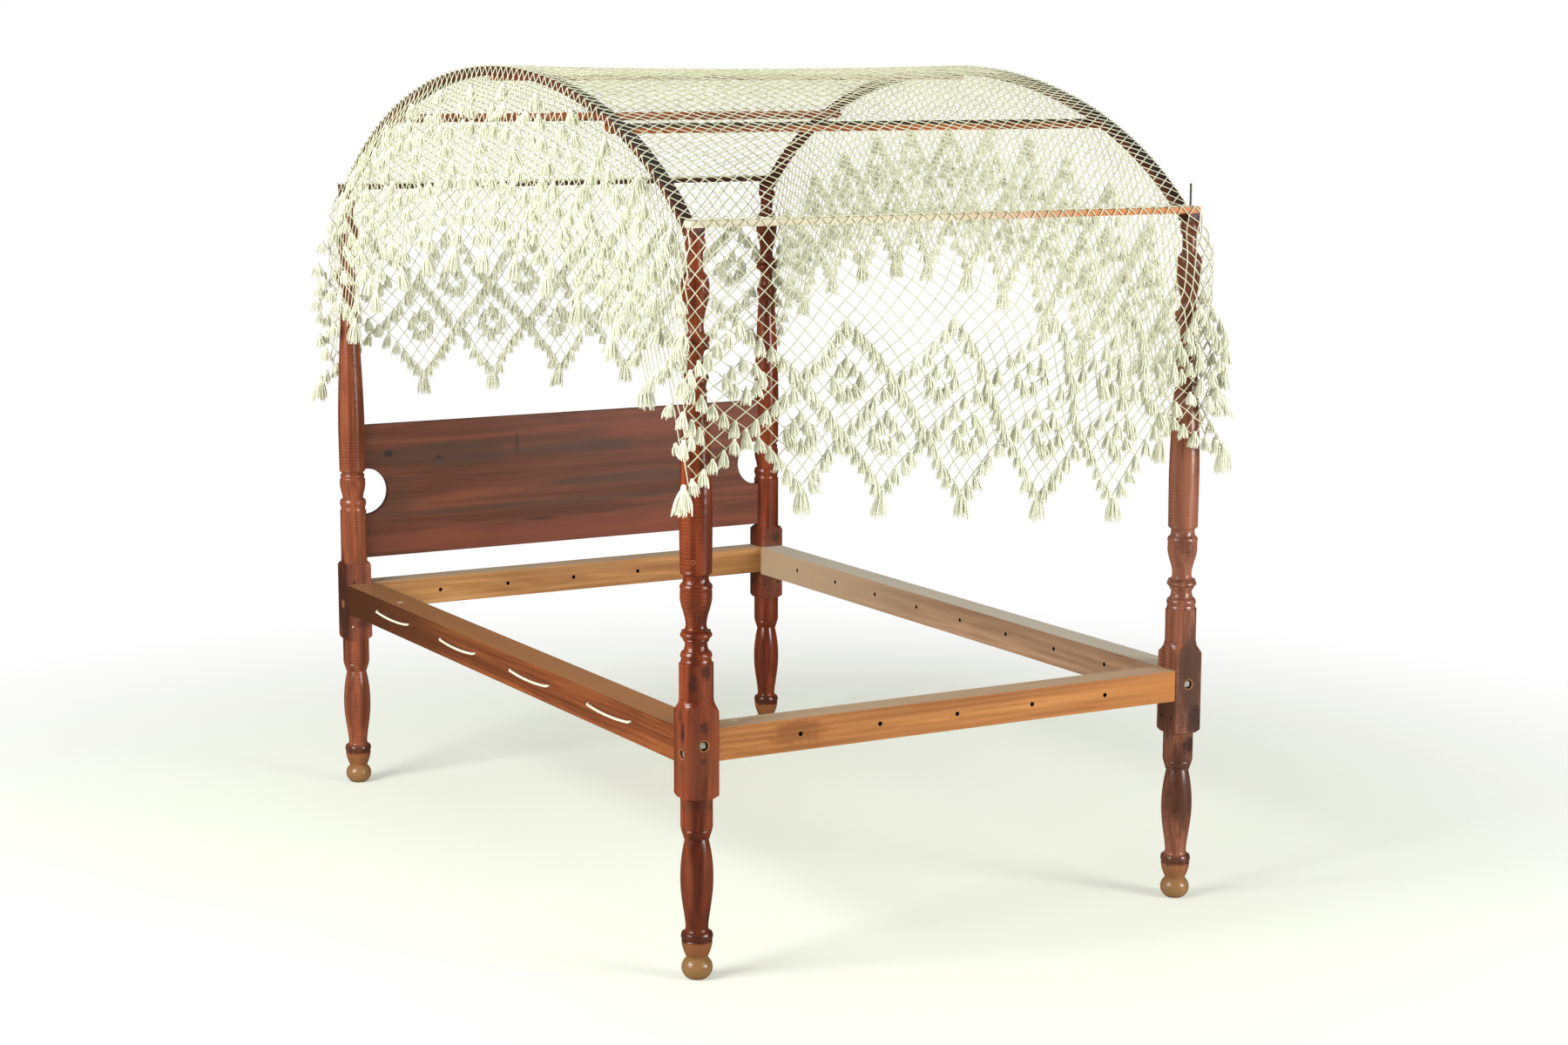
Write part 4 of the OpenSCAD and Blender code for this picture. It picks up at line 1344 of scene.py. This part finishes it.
# ---- the bedstead and tester
@dataclass(frozen=True)
class RopeLoops:
    """The four loops of twisted rope on the left side rail, in millimetres.

    half lists how far out, how far along and how far down the rope's axis runs, from deep in a hole
    to the middle of the loop.
    """

    length: float = 0.371
    diameter: float = 0.0065
    count: int = 4
    rail_end: float = side("side_rail_left", 1)
    pitch: float = (rail_end - side("side_rail_left", 1, 0)) / 9
    half: tuple[Point, ...] = ((-76, 0, 0), (-40, 0, 0), (-6, 0, 0), (-1, 0.5, 0), (1.2, 1.3, -0.3),
                               (2.9, 3, -0.6), (3.8, 6.2, -1), (3.7, 11, -1.5), (3.6, 40, -4), (3.6, 82, -6))
    pull: float = 0.8
    step: float = 1.6
    strands: int = 3
    strand_radius: float = 1.75
    lay_radius: float = 1.55
    lay_length: float = 3.4

    def route(self, index: int) -> list[Vector]:
        """Finds where one loop runs.

        Args:
            index: the loop, counted from the head.

        Returns:
            Points from deep in one hole to deep in the next.
        """
        start = self.rail_end - (2 * index + 1) * self.pitch
        whole = self.half + tuple((out, self.pitch - run, drop) for out, run, drop in reversed(self.half))
        return [Vector((LEFT_FACE - out, start - run, ROPE_Z + drop)) for out, run, drop in whole]

    def fine(self, points: Path) -> list[Vector]:
        """Runs a smooth curve through points.

        Args:
            points: the points.

        Returns:
            The curve's own points, at an even step.
        """
        path: list[Vector] = []
        for i in range(len(points) - 1):
            p0, p1 = points[max(i - 1, 0)], points[i]
            p2, p3 = points[i + 1], points[min(i + 2, len(points) - 1)]
            gap = (p2 - p1).length
            count = max(1, round(gap / self.step))
            m1 = (p2 - p0).normalized() * gap * self.pull
            m2 = (p3 - p1).normalized() * gap * self.pull
            for t in (k / count for k in range(count)):
                path.append(p1 * (2 * t ** 3 - 3 * t ** 2 + 1) + m1 * (t ** 3 - 2 * t ** 2 + t)
                            + p2 * (3 * t ** 2 - 2 * t ** 3) + m2 * (t ** 3 - t ** 2))
        path.append(points[-1])
        return path

    def build(self, cotton: Material) -> None:
        """Lays three strands round each route.

        Args:
            cotton: the rope's material.
        """
        for index in range(self.count):
            path = self.fine(self.route(index))
            gone = [0.0]
            for p, q in zip(path, path[1:]):
                gone.append(gone[-1] + (q - p).length)
            laid = [(*step, s / self.lay_length) for step, s in zip(frames_along(path), gone)]
            maker = MeshMaker()
            for phase in (2 * math.pi * strand / self.strands for strand in range(self.strands)):
                maker.tube([p + self.lay_radius * (math.cos(phase + s) * u + math.sin(phase + s) * w)
                            for p, u, w, s in laid], self.strand_radius, 7, True)
            piece = maker.object(f"rope_{index + 1}", cotton)
            own(piece, "bedstead", "rope_cotton", f"rope_loop_{index + 1}")
            metres = [tuple(p * MM) for p in path]
            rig.cord(piece, exit=metres[0], length=self.length, diameter=self.diameter, far_end="object",
                    stiffness="limp", lay="taut", path=metres)


NAIL, SOOT, BROWN, FILLER = (34, 20, 14), (44, 24, 18), (104, 58, 32), (214, 196, 170)


@dataclass(frozen=True)
class Posts:
    """The four posts' finishes. Places are given from the post's axis and the floor, in millimetres."""

    maple: Tones = Tones((136, 60, 30), (74, 28, 15), (166, 84, 46))
    # the right footpost's tones: its maple made paler and greyer, a painted sheen over the whole post
    paler: Tones = Tones((152, 92, 70), (94, 52, 38), (180, 124, 98))
    redder: Tones = Tones((152, 82, 54), (92, 44, 28), (180, 106, 74))
    hole_mouth: float = 39.0
    cross_bolt_z: float = ROPE_Z - 21.0
    head_depth: float = 8.5
    worn: tuple[Band, ...] = (Band(-5, 52, (146, 112, 70), 0.72), Band(52, 84, (140, 92, 56), 0.6),
                              Band(84, 106, (44, 26, 20), 0.62))

    def bolts(self, sign: int, depth: float) -> tuple[Point, Point]:
        """Middles of a footpost's two bolt holes, from its axis, at a depth below their mouths."""
        reach = self.hole_mouth - depth
        return (0.0, -reach, ROPE_Z), (sign * reach, 0.0, self.cross_bolt_z)

    @staticmethod
    def moved(place: Point, x: int, y: int) -> Point:
        """Takes a place from a post's axis to the bed: x and y say which post, by their signs."""
        return place[0] + x * POST_X, place[1] + y * POST_Y, place[2]

    def heads(self) -> tuple[Point, ...]:
        """Middles of the footposts' bolt heads, in the bed."""
        return tuple(self.moved(place, x, -1) for x in (-1, 1) for place in self.bolts(x, self.head_depth))

    def post(self, x: int, y: int, shift: float, marks: tuple[StainAndPaintedLight | Spot, ...], tones: Tones = maple,
             curl_from: float = -100.0) -> WoodFinish:
        """Describes a turned maple post with fine cross curl, worn pale at the ball foot.

        Args:
            x: -1 on the left, 1 on the right.
            y: -1 at the foot, 1 at the head.
            shift: where in the figure it is cut from.
            marks: its stains and spots, with a painted shade on the left headpost's block and a painted highlight on
                the right footpost's upper shaft.
            tones: its colours; on the right footpost paler and greyer, a painted sheen over the post's own tone.
            curl_from: the height where the curl begins.

        Returns:
            The post's finish.
        """
        rims = tuple(Spot(place, 13.4, (178, 122, 76), 2.2) for place in self.bolts(x, 0.0)) if y < 0 else ()
        placed = tuple(replace(mark, place=self.moved(mark.place, x, y)) for mark in marks + rims)
        name = f"maple_{'foot' if y < 0 else 'head'}post_{'left' if x < 0 else 'right'}"
        return WoodFinish(name, tones, streak=0.18, rough=0.22, gloss=0.42, curl=0.55, curl_scale=1.3,
                          curl_from=curl_from, shift=(shift, shift * 0.7, shift * 1.3),
                          marks=self.worn + placed)

    def finishes(self) -> dict[str, WoodFinish]:
        """Describes the four posts.

        Returns:
            The finish of each.
        """
        return {
            "footpost_left": self.post(-1, -1, 0.31, (
                StainAndPaintedLight((0, 0, 500), (60, 60, 140), BROWN, 0.6),
                StainAndPaintedLight((-38, -6, 556), (10, 12, 30), SOOT, 0.8),
                StainAndPaintedLight((-38, 6, 590), (10, 9, 22), SOOT, 0.6),
                StainAndPaintedLight((0, -38, 566), (16, 10, 20), SOOT, 0.6),
                StainAndPaintedLight((-2, -38, 492), (12, 8, 10), SOOT, 0.5),
                StainAndPaintedLight((-26, -30, 664), (16, 14, 26), SOOT, 0.7),
                StainAndPaintedLight((6, -34, 690), (16, 14, 22), SOOT, 0.75),
                StainAndPaintedLight((0, 0, 395), (60, 60, 26), SOOT, 0.35),
                StainAndPaintedLight((0, 0, 240), (60, 60, 150), SOOT, 0.3),
                Spot((-22, -28, 930), 5.5, (150, 95, 60), 1.6)), curl_from=690.0),
            "footpost_right": self.post(1, -1, 1.12, (
                # painted highlight: a pale bloom over the upper shaft in place of a broad reflection
                StainAndPaintedLight((0, 0, 980), (60, 60, 420), (186, 122, 98), 0.3),
                StainAndPaintedLight((5, -38, 520), (52, 14, 190), (62, 40, 30), 0.82),
                StainAndPaintedLight((-38, 0, 470), (12, 50, 90), (74, 46, 34), 0.6),
                StainAndPaintedLight((22, -36, 440), (30, 16, 50), SOOT, 0.7),
                StainAndPaintedLight((-5, -30, 290), (44, 40, 150), (44, 28, 24), 0.7),
                StainAndPaintedLight((0, 0, 270), (60, 60, 170), (70, 40, 30), 0.5),
                StainAndPaintedLight((10, -30, 380), (30, 24, 26), SOOT, 0.8),
                StainAndPaintedLight((-10, -28, 860), (26, 20, 36), SOOT, 0.5),
                Spot((-36.5, 19, 446), 4, NAIL),
                Spot((-36.5, -19, 445), 4, NAIL)), self.paler),
            "headpost_left": self.post(-1, 1, 2.07, (
                # painted shade: the left face of the block darkened where it lies in shadow
                StainAndPaintedLight((-37, 0, 510), (8, 80, 190), (52, 22, 14), 0.9),
                StainAndPaintedLight((10, -36, 450), (30, 8, 16), SOOT, 0.5),
                Spot((-21.6, -35, 444.8), 3, (210, 190, 170)),
                Spot((-14, -35, 568), 4, NAIL)), self.redder),
            "headpost_right": self.post(1, 1, 3.4, (
                StainAndPaintedLight((0, -36, 510), (44, 8, 140), BROWN, 0.6),
                StainAndPaintedLight((14, -37, 590), (18, 6, 20), SOOT, 0.7),
                Spot((-24, -35, 451), 4, NAIL),
                Spot((21, -35, 455), 4, NAIL),
                Spot((-35, 19, 454), 4, NAIL),
                Spot((-35, -21, 449), 4, NAIL))),
        }


@dataclass(frozen=True)
class WoodShop:
    """The wood and iron finishes, and which CAD piece gets which."""

    posts: Posts = Posts()

    def rails(self) -> dict[str, WoodFinish]:
        """Describes the four rails, paler than the posts, with painted shade in the rope holes, a painted sheen on the
        tops of the foot, head and right rails, and a painted sheen along the right rail towards the head.

        Returns:
            The finish of each.
        """
        # painted sheen: the pale top faces of the foot and head rails stand in for light glancing off them
        painted_sheen_top, along = Top((206, 188, 162)), HoleRow("side_rail_left", "Y", 8)
        return {
            "foot_rail": WoodFinish(
                "foot_rail", Tones((180, 115, 58), (142, 86, 42), (202, 144, 84)), Grain.X, 0.6, 0.25, 0.4,
                shift=(0.2, 0.4, 0.1), marks=(
                    Fade("X", 100, 900, (172, 108, 52)), painted_sheen_top,
                    StainAndPaintedLight((-420, -1046, 530), (90, 10, 40), (120, 66, 30), 0.6),
                    HoleRow("foot_rail", "X", 5), Spot((-550, -995, RAIL_TOP), 11, FILLER))),
            "head_rail": WoodFinish(
                "head_rail", Tones((176, 122, 70), (140, 92, 50), (198, 150, 96)), Grain.X, 0.6, 0.2, 0.45,
                shift=(0.7, 0.1, 0.9), marks=(painted_sheen_top, HoleRow("head_rail", "X", 5))),
            "side_rail_left": WoodFinish(
                "left_rail", Tones((136, 72, 36), (92, 44, 22), (158, 92, 50)), Grain.Y, 0.6, 0.3, 0.4, 0.22,
                shift=(0.3, 0.8, 0.5), marks=(
                    Fade("Y", -300, 1000, (72, 38, 18)), Top((160, 112, 72), 0.75), along,
                    Spot((-656, 665, RAIL_TOP), 9, FILLER), Spot((-608, 840, RAIL_TOP), 6, (110, 80, 60)))),
            "side_rail_right": WoodFinish(
                "right_rail", Tones((158, 122, 96), (128, 96, 74), (182, 148, 120)), Grain.Y, 0.5, 0.25, 0.4,
                shift=(0.9, 0.2, 0.3), marks=(
                    # painted sheen: the inner face grows paler and greyer towards the head end, and the top is near
                    # white
                    Fade("Y", -200, 1000, (168, 144, 118)), Top((214, 206, 190), 0.8), along,
                    Spot((658, 794, RAIL_TOP), 10, FILLER), Spot((640, -849, RAIL_TOP), 10, FILLER))),
        }

    def headboard(self) -> WoodFinish:
        """Describes stained pine with broad dark clouds along the grain, knots and a redder lower strip.

        Returns:
            The headboard's finish.
        """
        cloud, knot, red = (72, 50, 38), (40, 28, 22), (122, 60, 42)
        broad = ((0, 660, 760, 46, red, 0.6), (420, 940, 420, 60, red, 0.55),
                 (-380, 905, 300, 44, cloud, 0.8), (40, 900, 260, 26, cloud, 0.65),
                 (250, 800, 420, 24, cloud, 0.75), (-60, 745, 640, 14, cloud, 0.7),
                 (-560, 780, 120, 90, cloud, 0.45))
        small = ((-547, 915, 18, 14, knot, 0.9), (-398, 896, 12, 7, knot, 0.8),
                 (-160, 920, 6, 42, knot, 0.6), (-90, 700, 70, 4, knot, 0.7))
        marks = tuple(StainAndPaintedLight((x, y, z), (wide, 30, high), colour, amount)
                      for y, group in ((BOARD_FRONT, broad), (BOARD_FRONT - 2, small))
                      for x, z, wide, high, colour, amount in group)
        return WoodFinish("headboard_pine", Tones((118, 62, 40), (84, 44, 28), (132, 76, 52)), Grain.X, 0.15,
                          0.3, 0.36, 0.22, shift=(0.1, 0.5, 0.2), marks=marks)

    def tester(self) -> dict[str, WoodFinish]:
        """Describes the arched frame's ribs, laths and slats.

        Returns:
            The finish of each.
        """
        rib = WoodFinish("rib_left", Tones((104, 46, 30), (48, 22, 18), (134, 66, 42)), Grain.Y, 0.5, 0.4,
                         0.45, shift=(0.4, 0.6, 0.2), marks=(Top((30, 22, 20), 0.95),))
        slats = (
            ("crown_slat", ((150, 76, 46), (86, 42, 30), (176, 104, 70)), (0, 0, 0),
             Top((46, 34, 30), 0.85)),
            ("front_slat", ((184, 96, 46), (120, 58, 32), (206, 128, 76)), (0.4, 0.1, 0.1),
             Top((40, 30, 26), 0.92)),
            ("rear_slat", ((158, 80, 50), (96, 46, 32), (184, 110, 72)), (0.9, 0.7, 0.1),
             Top((70, 46, 38), 0.6)))
        return {
            "arch_rib_left": rib,
            "arch_rib_right": replace(rib, name="rib_right", tones=replace(rib.tones, body=(100, 46, 30)),
                                      shift=(0.8, 0.3, 0.7)),
            "foot_lath": WoodFinish(
                "foot_lath", Tones((228, 222, 204), (204, 190, 164), (238, 232, 218)), Grain.X,
                0.6, 0.15, 0.6, shift=(0.2, 0.2, 0.6),
                marks=(Fade("X", -180, 420, (192, 126, 78)), Top((120, 100, 84), 0.4))),
            "head_lath": WoodFinish(
                "head_lath", Tones((104, 54, 36), (58, 28, 22), (130, 76, 54)), Grain.X, 0.5, 0.4, 0.5,
                shift=(0.6, 0.9, 0.4)),
            **{name: WoodFinish(name, Tones(*tones), Grain.X, 0.5, 0.3, 0.5, shift=shift, marks=(top,))
               for name, tones, shift, top in slats},
        }

    def dress(self) -> None:
        """Gives every wooden and iron CAD piece its material."""
        plug = WoodFinish("plug_end_grain", Tones((150, 96, 58), (100, 60, 36), (176, 122, 80)), Grain.X)
        wood = {**self.posts.finishes(), **self.rails(), **self.tester(), "headboard": self.headboard(),
                "bolt_hole_plugs": plug}
        figure = wood_figure()
        for node, finish in wood.items():
            give(node, finish.build(figure))
        pin = IronFinish("pin_iron", (74, 72, 72), (70, 52, 42)).build()
        black = IronFinish("nail_iron", (30, 30, 32), (44, 32, 28), 0.6).build()
        bolt = IronFinish("bolt_iron", (30, 30, 30), (36, 26, 20), heads=self.posts.heads()).build()
        for node, iron in (("bed_bolts", bolt), ("bolt_nuts", pin), ("post_pins", pin),
                           ("slat_nails", black), ("slat_clip", black)):
            give(node, iron)


def give(node: str, material: Material) -> None:
    """Puts a material on a CAD piece.

    Args:
        node: the piece.
        material: its only material.
    """
    piece = frame["nodes"][node]
    if not piece.material_slots:
        piece.data.materials.append(material)
    for slot in piece.material_slots:
        slot.material = material
    log.info("dressed %s in %s", node, material.name)


# ---- studio
@dataclass(frozen=True)
class Lamp:
    """One soft light: where it stands, its width in metres and its power in watts."""

    name: str
    place: Point
    width: float
    power: float


@dataclass(frozen=True)
class Studio:
    """Camera, pale floor, white surroundings and soft lights, in metres.

    The surroundings have one colour as a light and a dimmer one in reflections, and so has the floor.
    """

    eye: Point = (-3.523, -6.467, 1.991)
    forward: Point = (0.48662, 0.85940, -0.15696)
    up: Point = (0.07568, 0.13752, 0.98760)
    lens: float = 66.97
    bed_middle: Point = (0.0, 0.0, 0.9)
    floor_half: float = 40.0
    floor_fade: Pair = (1.3, 3.4)
    floor_reflected: Colour = (0.12, 0.12, 0.11, 1.0)
    surround: Colour = (0.29, 0.3, 0.27, 1.0)
    reflected: Colour = (0.06, 0.06, 0.06, 1.0)
    lamps: tuple[Lamp, ...] = (
        Lamp("left_softbox", (-5.5, -1.0, 3.2), 3.0, 400),
        Lamp("overhead", (-0.5, 0.5, 5.5), 5.0, 60),
        Lamp("front_right", (3.0, -6.5, 2.6), 2.5, 185),
        Lamp("right_strip", (2.6, -4.2, 1.3), 1.2, 80))

    def build(self) -> None:
        """Makes the whole studio."""
        self.camera()
        self.floor()
        self.world()
        for lamp in self.lamps:
            self.light(lamp)
        bpy.context.scene.view_settings.view_transform = "Standard"

    def camera(self) -> None:
        """Stands the camera where the photograph was taken."""
        data = bpy.data.cameras.new("camera")
        data.sensor_fit, data.sensor_width, data.lens = "HORIZONTAL", 36.0, self.lens
        data.clip_end = 200.0
        forward = Vector(self.forward).normalized()
        right = forward.cross(Vector(self.up)).normalized()
        turn = Matrix((right, right.cross(forward), -forward)).transposed().to_4x4()
        camera = stand("camera", data)
        camera.matrix_world = Matrix.Translation(self.eye) @ turn
        bpy.context.scene.camera = camera

    def floor(self) -> None:
        """Lays a pale floor that fades into white far from the bed."""
        far = self.floor_half
        mesh = bpy.data.meshes.new("floor")
        corners = [(x * far, y * far, 0) for x, y in ((-1, -1), (1, -1), (1, 1), (-1, 1))]
        mesh.from_pydata(corners, [], [(0, 1, 2, 3)])
        material, graph = new_material("floor_paper")
        here = graph.here()
        fade = graph.spread(graph.length(here), *self.floor_fade)
        tone = graph.blend(graph.cloud(here, 0.8, 2.0), (248, 252, 236), (242, 248, 226))
        ray = graph.node("LightPath")
        tone = graph.blend(ray.outputs["Is Glossy Ray"], tone, self.floor_reflected)
        paper = graph.make("BsdfPrincipled", {"Roughness": 0.7, "Base Color": tone})
        white = graph.times(graph.plus(graph.times(fade, 0.7), 0.3), ray.outputs["Is Camera Ray"])
        graph.show(graph.node("MixShader", {0: white, 1: paper, 2: graph.make("Emission", {})}))
        mesh.materials.append(material)
        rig.stage(stand("floor", mesh))

    def world(self) -> None:
        """Makes the world white to the camera, soft as a light, and dim in reflections."""
        world = bpy.data.worlds.new("studio")
        world.use_nodes = True
        graph = Graph(world.node_tree)
        ray = graph.node("LightPath")
        light = graph.blend(ray.outputs["Is Glossy Ray"], self.surround, self.reflected)
        white = graph.blend(ray.outputs["Is Camera Ray"], light, (1.0, 1.0, 1.0, 1.0))
        graph.show(graph.node("Background", {"Color": white}), "OutputWorld")
        bpy.context.scene.world = world

    def light(self, lamp: Lamp) -> None:
        """Hangs one soft light, turned to the bed's middle.

        Args:
            lamp: the light.
        """
        data = bpy.data.lights.new(lamp.name, "AREA")
        data.shape, data.size, data.energy = "SQUARE", lamp.width, lamp.power
        made = stand(lamp.name, data)
        made.location = lamp.place
        towards = Vector(self.bed_middle) - made.location
        made.rotation_euler = towards.to_track_quat("-Z", "Y").to_euler()


def note_sizes() -> None:
    """Writes the CAD box and the dressed box, for comparing by hand."""
    boxes = {"cad": [list(c) for c in cad_box], "visual": [list(c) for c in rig.bounds()]}
    with open("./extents.json", "w") as out:
        json.dump(boxes, out)


def main() -> None:
    """Dresses the bed and sets up the studio."""
    logging.basicConfig(level=logging.INFO)
    Studio().build()
    WoodShop().dress()
    RopeLoops().build(CottonFinish("rope_cotton", (232, 226, 204), (196, 186, 156), 900.0).build())
    # painted shade: the threads take a darker, greyer cotton than the tassels
    net = CottonFinish("net_cotton", (219, 218, 190), (178, 177, 146)).build()
    # the tassels take a faint painted glow
    tassels = CottonFinish("tassel_cotton", (243, 243, 225), (213, 212, 182), 700.0, 0.02).build()
    NetCanopy(net, tassels).build()
    note_sizes()


if __name__ == "__main__":
    main()
